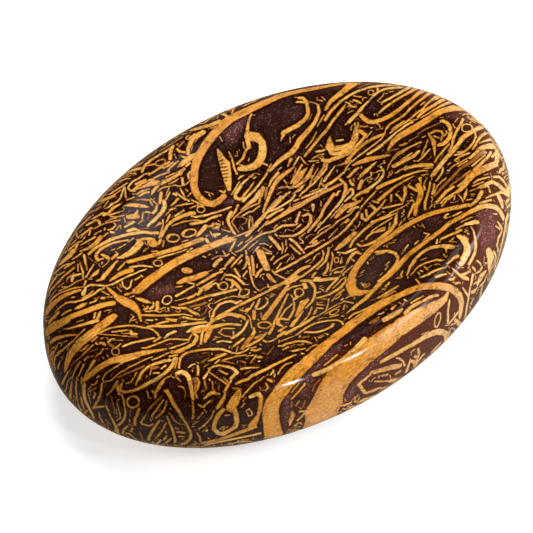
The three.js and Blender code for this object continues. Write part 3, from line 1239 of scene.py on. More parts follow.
FAR_FOOT = (
    bar(1.5, 80, 263, 83, 273, 83, 279, end=2.4),
    bar(2.4, 86, 265, 87, 270, tone=RUST),
    bar(1.5, 94, 264, 86, 277, end=2),
    bar(1.5, 78, 264, 78, 271),
    leaf(3.8, 99, 269, 96, 273, 90, 278),
    bar(1.2, 88, 279, 92, 279),
    bar(2.2, 81, 274, 73, 276, 72, 281, end=3, tone=HONEY),
    bar(1.5, 117, 261, 105, 275, end=5),
    bar(5, 105, 275, 102, 279, 97, 281, end=1.6),
    bar(1.6, 125, 262, 118, 270, end=2.2),
    bar(1.8, 152, 267, 140, 265.5, 130, 267.5, end=2.2, tone=HONEY),
    bar(5.5, 131, 270, 120, 274, 110, 281, end=2.2, tone=AMBER),
    bar(1.6, 146, 269, 126, 277, 113, 284, 106, 286, end=2, tone=HONEY),
    bar(1.7, 122, 281, 123, 286, 127, 289, 130, 287, 132, 280, tone=HONEY),
    bar(3, 120, 284, 121, 287, tone=RUST),
    bar(2, 140, 277, 135, 280),
    bar(2, 106, 286, 90, 285, 86, 287, end=2.4),
    bar(2.6, 86, 287, 83.5, 294, end=5, tone=HONEY),
    bar(2.2, 86, 281, 84, 285),
    bar(2, 104, 288, 99, 290, 94, 294, 82, 300, end=2.6),
    bar(2.4, 82, 300, 75, 302, 66, 303, 55, 312, end=1.5),
    bar(1.4, 93, 291, 88, 295, 82, 298),
    bar(2, 106, 286, 116, 296, end=5, tone=AMBER),
    bar(6, 117, 297, 128, 303, end=11, tone=AMBER),
    bar(11, 129, 303, 134, 307, 138, 312, end=5, tone=AMBER),
    bar(4.6, 138, 311, 141, 321, end=2.2, tone=AMBER),
    leaf(4.6, 136, 298, 151, 303),
    bar(3.4, 102, 298, 104, 298, tone=AMBER),
    bar(1.5, 108, 297, 112, 297),
    bar(1.5, 102, 291, 109, 295),
    leaf(4, 87, 303, 75, 309),
    bar(5.4, 113, 303, 100, 306, 68, 318, 60, 322, end=5.4, tone=AMBER),
    bar(5.6, 60, 322, 53, 326, 48, 331, end=7, tone=AMBER),
    bar(2, 71, 310, 66, 312, 62, 315),
    bar(3.6, 58, 313, 49, 322, tone=AMBER),
    bar(3, 80, 290, 65, 295, 58, 300, end=5, tone=AMBER),
    bar(5, 58, 300, 52, 305, 47, 311, end=6, tone=AMBER),
    bar(1.5, 83, 287, 75, 288, 60, 293, 54, 297, 50, 302, end=2, tone=AMBER),
    bar(1.3, 81, 280, 76, 282, 70, 286, 59, 291),
    bar(2, 74, 268, 64, 276, 52, 289, end=2.4, tone=AMBER),
    bar(1.5, 74, 273, 67, 279),
    bar(1.5, 64, 272, 59, 275),
    bar(1.8, 69, 264, 63, 266, 54, 274, end=1.5),
    bar(1.5, 56, 290, 52, 295, 49, 301, tone=RUST),
    bar(1.4, 62, 287, 66, 287),
    bar(8.5, 161, 272, 146, 283, 140, 289, end=8.5, tone=AMBER),
    bar(9, 140, 289, 137, 291, tone=AMBER),
    ring(167, 300, 4.9, 4, 1.4, -30, tone=HONEY),
    bar(3.6, 184, 270, 190, 271),
    ring(187, 270.5, 5, 2.4, 1.2, 5, tone=HONEY),
    bar(5, 206, 273, 194, 278, 187, 280, end=6, tone=AMBER),
    bar(6, 187, 279, 178, 283, end=3.6, tone=AMBER),
    bar(2, 194, 284, 189, 283),
    bar(1.5, 182, 286, 176, 287),
    bar(4, 214, 275, 197, 285, end=1.8),
    bar(1.5, 194, 286, 176, 296, end=2.8),
    bar(1.8, 215, 280, 202, 288, end=2.4),
    bar(4, 201, 290, 198, 295, end=3),
    bar(2.8, 197, 294, 188, 298.5, tone=AMBER),
    bar(1, 186, 298, 175, 301),
    bar(3, 215, 295, 207, 296, 191, 302, 179, 305, end=2),
    bar(1.5, 212, 286, 205, 291),
    bar(2.4, 172, 307, 178, 308, 185, 308, 196, 314, end=3.4),
    ring(178, 310.5, 2.2, 1.6, 0.9),
    bar(1.5, 197, 313, 200, 316),
    bar(2.6, 142, 315, 160, 315.5, 181, 314.5, end=1.8),
    bar(1.5, 183, 314, 192, 316),
    bar(2.6, 184, 317.5, 197, 319.5, 203, 319.5, end=1.8),
    bar(3, 167, 319, 175, 321, tone=AMBER),
    bar(2.4, 157, 324, 168, 321),
    bar(2.4, 184, 324, 207, 322.5, end=1.8),
    bar(1.5, 207, 308, 205, 313, 202, 315, tone=RUST),
    bar(1.4, 212, 309, 209, 312, 210, 317),
    bar(2.4, 214, 312, 211, 323),
    bare(16, 158, 284, 154, 300, end=20),
    bare(8, 66, 307, 76, 304),
    bare(6, 118, 307, 124, 320),
)

DISH_FOOT = (
    bar(2.4, 222, 271.5, 214, 274.5),
    bar(2, 226, 275, 231, 275, 236, 277, 244, 284, end=3, tone=HONEY),
    bar(1.5, 225, 273, 224, 276, 221, 280, tone=RUST),
    bar(2, 226, 279, 231, 280, 235, 283, end=4.2, tone=AMBER),
    bar(4.2, 235, 283, 241, 290, end=2.6, tone=AMBER),
    bar(1.6, 240, 291, 239, 295, 243, 297.5, 248, 297),
    bar(2.4, 232, 282, 233, 285, 231, 288),
    ring(223.5, 286, 4.5, 4, 1.3, tone=HONEY),
    bar(2.6, 217.5, 284, 219, 288),
    bar(2, 216, 283, 209, 286, 204, 290),
    bar(2.6, 236, 289.5, 215, 294.5, end=3, tone=HONEY),
    bar(1.4, 245, 289, 249, 290, 249, 293, 247, 295, 243, 296, tone=HONEY),
    bar(1.2, 240, 297, 233, 296, 220, 300, 215, 303),
    bar(3, 241, 301, 236, 303, 231, 301, 220, 304, 213, 313, 211, 320, end=1.8),
    bar(3.8, 296, 276, 268, 291, end=2.8),
    bar(2.6, 268, 291, 221, 315, 207, 326, end=3),
    bar(2, 245, 320, 243, 317, 239, 315.5, end=4.6, tone=AMBER),
    bar(4.6, 238, 316, 229, 314, 217, 319, end=2.6),
    bar(1.8, 295, 281, 283, 283, 271, 287, 268, 287, 268, 284, end=1.5),
    bar(1.3, 266, 287, 259, 291, tone=RUST),
    bar(1.6, 272, 270, 275, 274, 280, 276, 287, 280),
    bar(2.4, 251, 276, 254, 286, 258, 290, end=1.4),
    bar(2, 247, 271, 243, 276),
    bar(1.3, 264, 274, 261, 275, 260, 277),
    bar(4.4, 268, 275, 271, 279, 275, 282, end=3, tone=AMBER),
    bar(3, 289, 284, 280, 297, end=4.6, tone=AMBER),
    bar(4.6, 280, 297, 264, 319, end=4.4, tone=AMBER),
    bar(2, 296, 286, 291, 287.5, 287, 290),
    bar(1.8, 288, 294, 274, 323, 272, 329, 269, 334, end=2.8),
    bar(1.6, 292, 304, 286, 309, 280, 318),
    bar(2.5, 280, 318.5, 288, 319.5),
    bar(2.2, 288, 319.5, 294, 310, 293.5, 299, 291, 295, end=1.8),
    ring(264.5, 325, 6.6, 3.2, 1.6),
    bar(2, 266, 298, 268, 300, 267, 304, 260, 309, 256, 309),
    bar(2, 260, 299, 256, 307, end=3),
    bar(1.8, 254, 302, 250, 309),
    bar(3.4, 249, 309, 247, 310),
    bar(4, 254, 311, 254, 319, tone=AMBER),
    bar(3, 261, 313, 262, 318, tone=RUST),
    bar(1.5, 248, 315, 250, 318, 252, 328),
    bar(2.2, 248, 320, 244, 329, 236, 336, end=2.2, tone=HONEY),
    bar(2.4, 238, 334.5, 232.5, 338, end=3.2, tone=HONEY),
    bar(4.5, 278, 319, 278, 324, 282, 326, end=2.5),
    bar(2, 286, 326.5, 279, 331, end=2.4),
    bare(9, 262, 281, 258, 285),
    bare(7, 226, 305, 220, 312),
    bare(5, 235, 319, 226, 320),
    bare(6, 289, 308, 285, 315),
)

KEY_AND_HEEL = (
    bar(3, 309, 266, 300, 270, 284, 283, end=3.6, tone=AMBER),
    bar(2.4, 304, 275, 287, 284, end=3),
    bar(2.8, 335.5, 272.5, 336, 272.5, tone=HONEY),
    bar(3.4, 302, 281, 310, 281, 315, 288, end=2.8),
    bar(2.6, 315, 288, 315, 294, 313, 300, 306, 308, end=2),
    bar(1.8, 302, 285, 291, 287.5, 288, 290),
    bar(4.8, 304, 284, 306, 288),
    ring(299, 292.5, 4.6, 4, 1.5, -20),
    bar(2.6, 295, 290, 295, 294),
    bar(3.4, 297, 297, 295, 299),
    bar(4, 307, 300, 304, 302, end=6.6, tone=AMBER),
    bar(6.6, 304, 302, 296, 316, end=2, tone=AMBER),
    bar(1.5, 312, 307, 308, 316, 301, 324, end=2),
    bar(1.6, 303, 311, 292, 326, end=3),
    bar(4, 315, 280, 322, 280, 337, 278, end=3),
    bar(3, 316, 278, 319, 278),
    bar(2.5, 338, 278, 327, 290, end=1.8),
    bar(1.3, 346, 277, 341, 280, 337, 285, 333, 288),
    bar(1.5, 346, 277, 345, 282, 341, 287, end=3),
    bar(3, 341, 287, 330, 294, 317, 298, end=1.8),
    bar(2, 316, 293, 320, 292),
    bar(3, 343, 290, 337, 295, 332, 301, end=1.8, tone=AMBER),
    bar(1.2, 341, 294, 339, 297, 336, 299),
    bar(1.4, 346, 298, 350, 296),
    bar(1.5, 343, 301, 353, 303),
    bar(1.4, 322, 299, 329, 299, 326, 310),
    bar(1.2, 343, 302, 336, 305, 316, 317),
    bar(1, 340, 306, 325, 314),
    ring(334, 312, 5, 2, 1.1, -25),
    bar(1.5, 338, 315, 330, 317),
    bar(2.4, 316, 310, 314, 314),
    bar(2.4, 314, 317, 302, 325, 294.5, 328.5, end=3),
    bar(1.5, 358, 303, 347, 313),
    bar(4.4, 382, 281, 365, 299, 358, 304, 353, 309, end=3),
    bar(7, 353, 280, 352, 287, 355, 292, 360, 293, end=8, tone=AMBER),
    bar(7, 360, 293, 366, 292, 371, 290, end=2, tone=AMBER),
    bar(2, 375, 304, 368, 308, 352, 315, 349, 318),
    bar(3.2, 343, 324, 342, 322, end=2),
    bar(1.7, 342, 322, 337, 320, 320, 322, 309, 326, 298, 334, end=2),
    bar(3.4, 333, 324, 332, 326, 329, 328, end=2.2),
    bar(2.2, 329, 328, 317.5, 332, 305, 332, end=2.4),
    bar(4, 294, 329, 286, 334, end=3),
    bar(2.4, 295, 320.5, 291, 326),
    bare(6, 308, 290, 309, 297),
    bare(4, 330, 284, 324, 286),
    bare(5, 312, 328, 326, 326),
)

NEAR_LIP = (
    bar(2.4, 398, 286, 378, 298, end=1.5),
    bar(4, 394, 291, 388, 294, 383, 298, tone=RUST),
    bar(1.6, 384, 299, 366, 309, end=2),
    bar(2, 416, 279.5, 419, 283),
    # A pale sliver that is partly a painted highlight
    bar(2.5, 446, 274, 436, 277, tone=CREAM),
    bar(2.4, 460, 318, 461.5, 304, end=5.5, tone=AMBER),
    bar(5.5, 462, 304, 460, 297, 456, 292, 450, 288, end=8, tone=AMBER),
    bar(8, 450, 288, 440, 286, 420, 287, 400, 295, end=6, tone=AMBER),
    bar(6, 400, 295, 380, 305, 350, 325, end=9, tone=AMBER),
    bar(2.6, 438, 295, 430, 297, 423, 301, end=3.2, tone=HONEY),
    bar(3.4, 421, 302, 414, 305, 405, 313, end=4, tone=HONEY),
    bar(2.5, 402, 309, 398, 312, end=5, tone=HONEY),
    bar(5, 398, 312, 384, 320),
    bar(1.8, 423, 296, 411, 303, tone=HONEY),
    bar(2, 396, 305, 392, 309, end=3),
    bar(4, 378, 319, 371, 323, tone=RUST),
    bar(3, 448, 293, 445, 299, 439, 304, end=9, tone=AMBER),
    bar(9, 439, 304, 424, 313, end=14, tone=AMBER),
    bar(2.5, 449.5, 301, 448, 310, 448, 322, tone=HONEY),
    ring(437.5, 320, 2.6, 7.6, 1.6, 14),
    bar(1.5, 452, 268, 462, 277, 468, 279, end=4, tone=HONEY),
    bar(3, 461, 275, 467, 273),
    bar(3, 473, 275, 470, 289, end=2),
    bar(1.7, 470, 289, 465, 318, end=2),
    bar(1.6, 486, 271, 482, 276, end=5),
    bar(5, 481, 277, 478, 283, end=3.4),
    bar(1.5, 487, 275, 484, 282, 480, 286),
    bar(2, 463, 288, 468, 296),
    bar(3.4, 475, 291, 472, 292),
    bar(1.6, 477, 288, 474, 291),
    bar(2.5, 482, 287, 480, 297, tone=HONEY),
    bar(1.5, 472, 309, 471, 313),
    bar(4, 455, 320, 460, 325, tone=HONEY),
    bar(1.2, 451, 325, 456, 323),
    ring(452, 331, 2.4, 3, 1.2, 30),
    bare(3, 446, 291, 415, 294, 405, 298),
    bare(6, 454, 300, 455, 312),
    bare(5, 443, 312, 444, 326),
)

LEFT_FAN = (
    bar(1.6, 69, 328.5, 97, 320.5, end=4, tone=HONEY),
    bar(7, 114, 316, 96, 330, end=9, tone=AMBER),
    bar(9, 96, 330, 80, 343, 75, 349, end=9.4, tone=AMBER),
    bar(9, 75, 349, 70, 355, 67, 363, 65, 371, end=3, tone=AMBER),
    bar(1.2, 84.5, 329, 69.5, 345, 67, 350),
    bar(1.4, 72, 341, 62, 350.5, 58, 353, end=1.8),
    bar(4, 51, 342, 57, 338, 71, 335, 77, 335, end=1.4),
    bar(5, 51, 331, 56, 327, 68, 320, end=6, tone=AMBER),
    bar(3, 100, 312, 99, 316, 97, 319),
    bar(2.4, 95, 313, 94, 318),
    bar(2, 98.5, 333.5, 111, 328, 130, 325.5, 148.5, 328.5),
    bar(2, 148.5, 328.5, 152.5, 329.5, 160.5, 337.5, 154, 341.5, end=2.2),
    bar(1.3, 99.5, 334, 137, 337, tone=AMBER),
    bar(1.6, 112, 332, 127.5, 330),
    ring(126.5, 332, 5, 1.6, 1, -8),
    bar(3.4, 131, 331, 132, 334, 136, 334),
    bar(2.2, 123, 346.5, 131.5, 343, 154, 338),
    bar(1.6, 121, 344, 116, 347.5),
    bar(3, 92, 341, 97, 337, end=2.6, tone=AMBER),
    bar(3, 100, 343, 103, 343, 105, 345, tone=AMBER),
    bar(3, 109, 344, 114, 347, tone=RUST),
    bar(2.4, 80, 351, 84.5, 349, 88, 345, tone=AMBER),
    bar(1.5, 70.5, 366, 82.5, 355, end=2.2, tone=RUST),
    bar(2.4, 82.5, 355, 93, 345, tone=AMBER),
    bar(1.2, 88, 352.5, 97.5, 349, tone=RUST),
    bar(1.6, 96, 356, 100.5, 353, 103, 349, tone=AMBER),
    ring(115.5, 351.5, 4, 3.6, 1.1),
    bar(3.4, 94, 361, 84, 377, end=1),
    bar(2.6, 84.5, 360, 88, 357, tone=AMBER),
    bar(5.2, 84, 380, 100, 367, 110, 362, end=6.4, tone=AMBER),
    bar(6.8, 110, 361, 132, 356, end=7, tone=AMBER),
    bar(6.6, 132, 356, 143, 353, 166, 349, end=2, tone=AMBER),
    bar(3, 121, 362, 139, 357, end=1.6, tone=HONEY),
    bar(1.6, 124, 362, 105.5, 373.5, 102.5, 379.5, 103.5, 381.5, end=1.4),
    bar(1.4, 103, 382, 110, 381, 121, 372, 142, 361, 152, 357),
    bar(2, 117.5, 377.5, 144, 366, tone=RUST),
    bar(1.8, 91, 384, 93, 385, 95.5, 383.5, 98, 380, tone=AMBER),
    bar(3, 75, 370, 80, 362, tone=RUST),
    bar(1.8, 79, 375.5, 83.5, 365),
    bar(2, 54.5, 357, 59.5, 353.5),
    bar(2, 58, 368, 60, 361, end=1.4),
    bar(1.8, 62, 384, 68, 372),
    bar(2.4, 70, 398, 72, 381, end=1.6),
    bar(1.6, 77, 398, 76, 390, 76.5, 381),
    bare(4, 98, 325, 112, 321, 124, 320),
    bare(4, 138, 334, 148, 333),
    bare(4, 120, 350, 138, 346, 150, 345),
    bare(5, 100, 375, 112, 368, 118, 366),
    bare(4, 163, 331, 184, 332),
)

LEFT_FOOT = (
    bar(3, 148, 327, 153, 326, 172, 326, 205, 322, end=3),
    bar(2.2, 167.5, 319, 172, 320, 176.5, 319.5),
    bar(1.8, 158, 324, 166, 321.5),
    bar(1.4, 181.5, 322.5, 186.5, 321),
    bar(1.6, 164.5, 338, 168, 334.5, 175, 331.5, end=3.2, tone=HONEY),
    bar(2, 142, 348, 146, 348, 167, 340, 175, 339, 189, 340),
    bar(2, 189, 339.5, 191.5, 335),
    bar(2.2, 170, 348.5, 188.5, 342, end=1.4),
    bar(3, 194, 334, 197, 336, 196, 340, 193, 344, end=3.8),
    bar(3.8, 193, 344, 188, 347, 177, 351, end=2.6),
    bar(2.4, 187.5, 332, 194.5, 328, 201, 326.5, 207, 326.5, end=4.4, tone=HONEY),
    bar(5, 194, 332, 206, 328, end=7, tone=AMBER),
    bar(2.6, 204, 326.5, 202, 334, 201, 344),
    bar(7, 210, 329, 205, 342, end=3.4, tone=AMBER),
    bar(5, 208, 328, 225, 324, end=3),
    bar(3, 225, 324, 231, 324, 240, 325, end=2.4),
    bar(2.4, 179, 368, 180.5, 358, 189, 352, 210, 349),
    bar(2.8, 210, 349, 223, 349.5, 232.5, 353, end=2.4, tone=HONEY),
    bar(2, 232.5, 353, 237, 353.5, 246, 350.5, 249.5, 348, end=1.4),
    bar(1.3, 202.5, 353.5, 208.5, 352.5, tone=RUST),
    bar(4, 175, 358, 172, 366, 165, 373, end=3.4),
    bar(3.4, 165, 373, 160, 377, 149, 383, end=4),
    bar(4, 149, 383, 135, 390, 124, 392, 120, 390, end=2.2),
    bar(1.6, 177.5, 358, 175, 368),
    bar(3.6, 170, 360, 164, 361, 151, 365, end=2.8),
    bar(2.8, 151, 365, 142.5, 371.5, 139, 379, end=3),
    bar(1.8, 140, 375.5, 135.5, 385),
    bar(1.4, 136.5, 372.5, 131, 382, 126, 383.5),
    bar(5, 152, 368, 158, 367, end=3, tone=RUST),
    bar(1.6, 169.5, 352.5, 152.5, 360),
    bar(2.5, 170, 356.5, 176.5, 355),
    bar(4.4, 172, 352, 179, 352, 184, 351, end=2, tone=AMBER),
    bar(2.6, 161.5, 368.5, 165.5, 365.5),
    bar(2.2, 154, 373, 159, 373),
    bar(3, 155, 395, 158, 387, 166, 378, 170, 376, end=2, tone=AMBER),
    bar(2.4, 176.5, 377.5, 180.5, 381.5, tone=RUST),
    bar(1.8, 178.5, 386.5, 181, 386.5, 184, 388),
    bar(1.5, 184.5, 389.5, 185.5, 393.5, 184.5, 397.5, tone=RUST),
    bar(4.4, 178, 373, 181, 372, 185, 373, 188, 376, end=5, tone=HONEY),
    bar(5, 188, 376, 190, 382, 193, 399, end=2.8),
    bar(2.2, 192.5, 399, 193.5, 416, 192.5, 419, end=2.8, tone=AMBER),
    bar(4.4, 194, 379, 196, 384, 195, 390, end=2.6, tone=RUST),
    bar(2.4, 197, 378, 199, 382, 198, 387, 195, 393, 197, 398, tone=AMBER),
    bar(1.4, 188.5, 367.5, 191.5, 365, 195, 364, tone=CREAM),
    bar(2.4, 197.5, 365.5, 198.5, 370, 198, 375),
    bar(2.2, 201.5, 362.5, 208.5, 358, tone=RUST),
    bar(3, 204, 378, 211, 368, end=1.6),
    bar(1.5, 223, 328.5, 219, 332.5, 225, 336, 230, 336.5),
    bar(1.6, 223, 328.5, 234, 328.5),
    bar(1.8, 233.5, 331.5, 233.5, 335.5),
    bar(2.4, 243.5, 338.5, 234, 346),
    bar(1.4, 238, 346.5, 236.5, 351.5),
    bar(2, 217.5, 342, 223, 341, 230.5, 342, end=2.6, tone=CREAM),
    bar(4, 242, 349, 252, 336, end=4.4, tone=AMBER),
    bar(4.4, 252, 336, 254, 332, 254, 328, end=2),
    bar(2.6, 247.5, 346.5, 260.5, 339, 266.5, 332.5, end=2.2),
    bar(3.6, 256, 338, 261, 335, tone=RUST),
    bar(3.4, 225, 354, 209, 361, end=2),
    bar(2, 215.5, 363.5, 219, 360),
    bar(1.6, 216, 355.5, 221, 353.5, tone=RUST),
    bar(2.2, 223, 360, 237, 356, 246, 355, end=1.6, tone=AMBER),
    bar(2.2, 222, 361, 229, 362, 234.5, 364, end=1.4, tone=RUST),
    bar(1.8, 208.5, 369, 213.5, 366.5, 220, 365.5, 232.5, 368, end=3),
    bar(3, 232, 368, 235, 370, 237, 373, end=4.4, tone=HONEY),
    bar(3.6, 235, 374, 231, 378, 231, 381, end=2.2),
    bar(2.2, 231, 381.5, 229, 383, 225.5, 390, end=3.2, tone=AMBER),
    bar(1.6, 219, 370.5, 227, 374, end=2.2),
    bar(1.6, 209.5, 372.5, 226, 383.5, end=2.2, tone=AMBER),
    bar(1.5, 224, 378, 228.5, 382.5, tone=AMBER),
    bar(2.2, 212.5, 381.5, 213, 389.5, tone=RUST),
    bar(2.6, 241.5, 369, 245, 368, 259, 367.5, end=1.4),
    bar(1.8, 245, 374, 250, 371, tone=RUST),
    bar(2.4, 236, 383.5, 249, 378.5, end=3.2),
    bar(3.2, 249, 378, 258, 373, 290, 357, end=2.6),
    bar(1.8, 305, 348.5, 292.5, 351, end=2.2),
    bar(2.4, 290, 357, 296, 354.5, end=1.5),
    bar(1.6, 319, 345, 314.5, 345, 306.5, 350.5, tone=AMBER),
    bar(1.7, 291.5, 362.5, 285.5, 364.5, 281, 368.5, 279, 372, end=1.8, tone=AMBER),
    bar(1.4, 264, 376.5, 260, 380, 255, 382.5, 242, 397, end=1.8),
    bar(2.8, 268, 379.5, 271.5, 381),
    bar(2.4, 266, 383.5, 268, 387.5, 265.5, 390.5, end=1.4),
    bar(2.2, 263.5, 340.5, 266.5, 342, 272, 341, 278, 337.5, end=1.4),
    bar(3.2, 279, 336, 285, 332, end=3.8),
    bar(2, 283.5, 328.5, 280, 331.5),
    bar(2, 279, 346, 283, 346, 286, 344, 300, 341, 311, 343, end=2.4),
    bar(1.8, 298, 345, 303, 344, tone=AMBER),
    bar(2.2, 283.5, 349.5, 288, 347),
    bar(2, 281, 341, 294, 336, end=1.2, tone=AMBER),
    bar(2, 291, 346.5, 295, 344.5, tone=RUST),
    bar(2, 302, 337.5, 309, 336.5, tone=RUST),
    bar(1.5, 251.5, 348, 255.5, 347),
    bar(2.4, 252, 350, 256.5, 350.5, 260, 349),
    bar(1.4, 262.5, 353, 268, 354, 273.5, 346.5, tone=RUST),
    bar(3.2, 258, 357, 261, 357, tone=AMBER),
    bar(1.8, 251, 363, 253, 359.5, tone=AMBER),
    bar(2.4, 240.5, 361, 245, 362.5, tone=RUST),
    bare(5, 203, 345, 213, 344, 228, 346),
    bare(5, 184, 360, 192, 358, 204, 356),
    bare(6, 183, 363, 184, 368),
    bare(5, 262, 349, 276, 344),
    bare(5, 262, 361, 276, 354, 288, 351),
    bare(5, 240, 373, 250, 372),
    bare(7, 172, 381, 173, 391),
    bare(6, 186, 381, 187, 393),
    bare(5, 276, 326, 274, 335),
)

LOW_CORNER = (
    ring(133, 402, 6.1, 5.6, 2),
    bar(2, 131, 409, 130, 416, tone=RUST),
    bar(3, 139, 409, 137, 415, 135, 419, 135, 424, end=3.4, tone=AMBER),
    bar(2.2, 129.5, 424.5, 132, 426, 135.5, 425.5, tone=RUST),
    bar(4, 117, 382, 112, 390, end=2.4, tone=AMBER),
    bar(5, 118, 387, 119, 392, end=4, tone=AMBER),
    bar(2.6, 121.5, 384, 120.5, 388.5),
    bar(2.4, 118, 393.5, 122, 395, 123.5, 399.5, 125.5, 412.5, end=2.2, tone=AMBER),
    bar(2.4, 125.5, 412.5, 124.5, 418, 122, 422.5, 118, 425.5),
    bar(2.4, 111, 391, 106.5, 395.5, end=1.8, tone=AMBER),
    bar(1.8, 111, 396.5, 112.5, 403, 114.5, 409, 114.5, 413.5, tone=RUST),
    bar(1.3, 117, 402, 120, 414.5, 120.5, 418, 117, 420.5),
    bar(2.6, 116.5, 410, 117, 414, tone=RUST),
    bar(1.3, 109, 413, 116.5, 428, 117.5, 433, end=3.4),
    bar(2.4, 102, 384, 100, 395.5, 93.5, 408.5, end=2.6),
    bar(2, 93.5, 407.5, 103.5, 406.5),
    bar(2.4, 93.5, 398, 95.5, 393.5),
    bar(1.5, 105.5, 404, 107, 399, tone=RUST),
    bar(4.4, 84, 385, 84, 394, 86, 402, 94, 418, end=2.2, tone=HONEY),
    bar(1.6, 99, 412.5, 100, 417.5, 103, 422.5),
    bar(2.6, 127.5, 426, 124, 429.5, 122.5, 433.5, end=3),
    bar(1.6, 125.5, 433.5, 129, 433.5, 137, 440),
    bar(2, 140, 432, 141.5, 435, 143, 440, tone=RUST),
    bar(1.6, 146, 415, 141, 422, 142, 424, 149, 426, 153, 424, end=2),
    bar(3, 163, 382, 156, 392),
    bar(2.8, 152.5, 391, 155.5, 393.5, 155, 397.5, tone=AMBER),
    bar(1.6, 162.5, 395.5, 148.5, 409.5, end=3, tone=RUST),
    bar(2.4, 148.5, 409.5, 146.5, 414.5, end=1.5, tone=RUST),
    bar(1.6, 163.5, 400, 152, 416, end=2),
    bar(2.6, 166.5, 401.5, 163.5, 411, 155.5, 418.5, end=2.2, tone=AMBER),
    bar(2, 159.5, 420.5, 152, 431.5, 148, 440, end=3.4),
    bar(2, 166, 423.5, 160, 433.5, 156, 437.5, end=2.2),
    bar(3, 165, 391, 167, 391, 172, 401, end=4.4),
    bar(4.4, 172, 401, 184, 420, end=2.6),
    bar(2.6, 184, 420, 190, 431, 191, 435, 190, 439, 186, 443, 182, 444, end=3),
    bar(1.8, 169, 412.5, 174, 420, 179, 423.5, 185, 425, tone=AMBER),
    bar(1.8, 167, 416.5, 174, 434.5, 175, 442.5, end=3),
    bar(2, 169, 412.5, 173, 416.5, tone=RUST),
    bar(3, 176, 428, 178, 429, tone=RUST),
    bar(3.4, 178, 432, 184, 433, tone=RUST),
    bar(2.6, 166.5, 436, 164, 440),
    bar(2, 171, 438.5, 166, 443),
    bar(1.6, 197, 432.5, 199.5, 436.5, 200.5, 441.5, end=2.6),
    bar(2, 199, 428.5, 203, 426.5, 210.5, 418.5, 214, 410.5, end=1.4),
    bar(1.6, 197.5, 418.5, 203, 412.5, end=2, tone=AMBER),
    bar(2, 204, 406, 210, 401),
    bar(2.2, 204, 398.5, 211, 393, 214.5, 393, end=3.6),
    bar(2.6, 214, 391, 215, 393.5, 219, 394, end=2.4, tone=AMBER),
    bar(3, 225, 394, 224, 398, 217, 408, end=3.6),
    bar(6, 239, 392, 237, 397, 231, 407, end=11, tone=AMBER),
    bar(4.4, 223, 410, 219, 414, 214, 425, 214, 430, end=4.6),
    bar(4.2, 215, 430, 218, 433, 223, 434, 229, 431, end=4.2, tone=HONEY),
    bar(4.4, 229, 431, 235, 427, 237, 421, 236, 414, 234, 409, end=5.4),
    bar(3, 203, 443, 221, 439, 255, 427, end=4),
    bar(2, 205, 445, 260, 433.5, end=2.4, tone=CREAM),
    bare(6, 105, 411, 107, 419),
    bare(4, 132, 402, 133, 402),
    bare(5, 142, 396, 145, 408),
    bare(6, 145, 431, 143, 424),
    bare(7, 225, 418, 226, 425),
    bare(5, 178, 392, 184, 408, 188, 414),
    bare(6, 200, 397, 198, 401),
    bare(6, 204, 433, 208, 437),
)

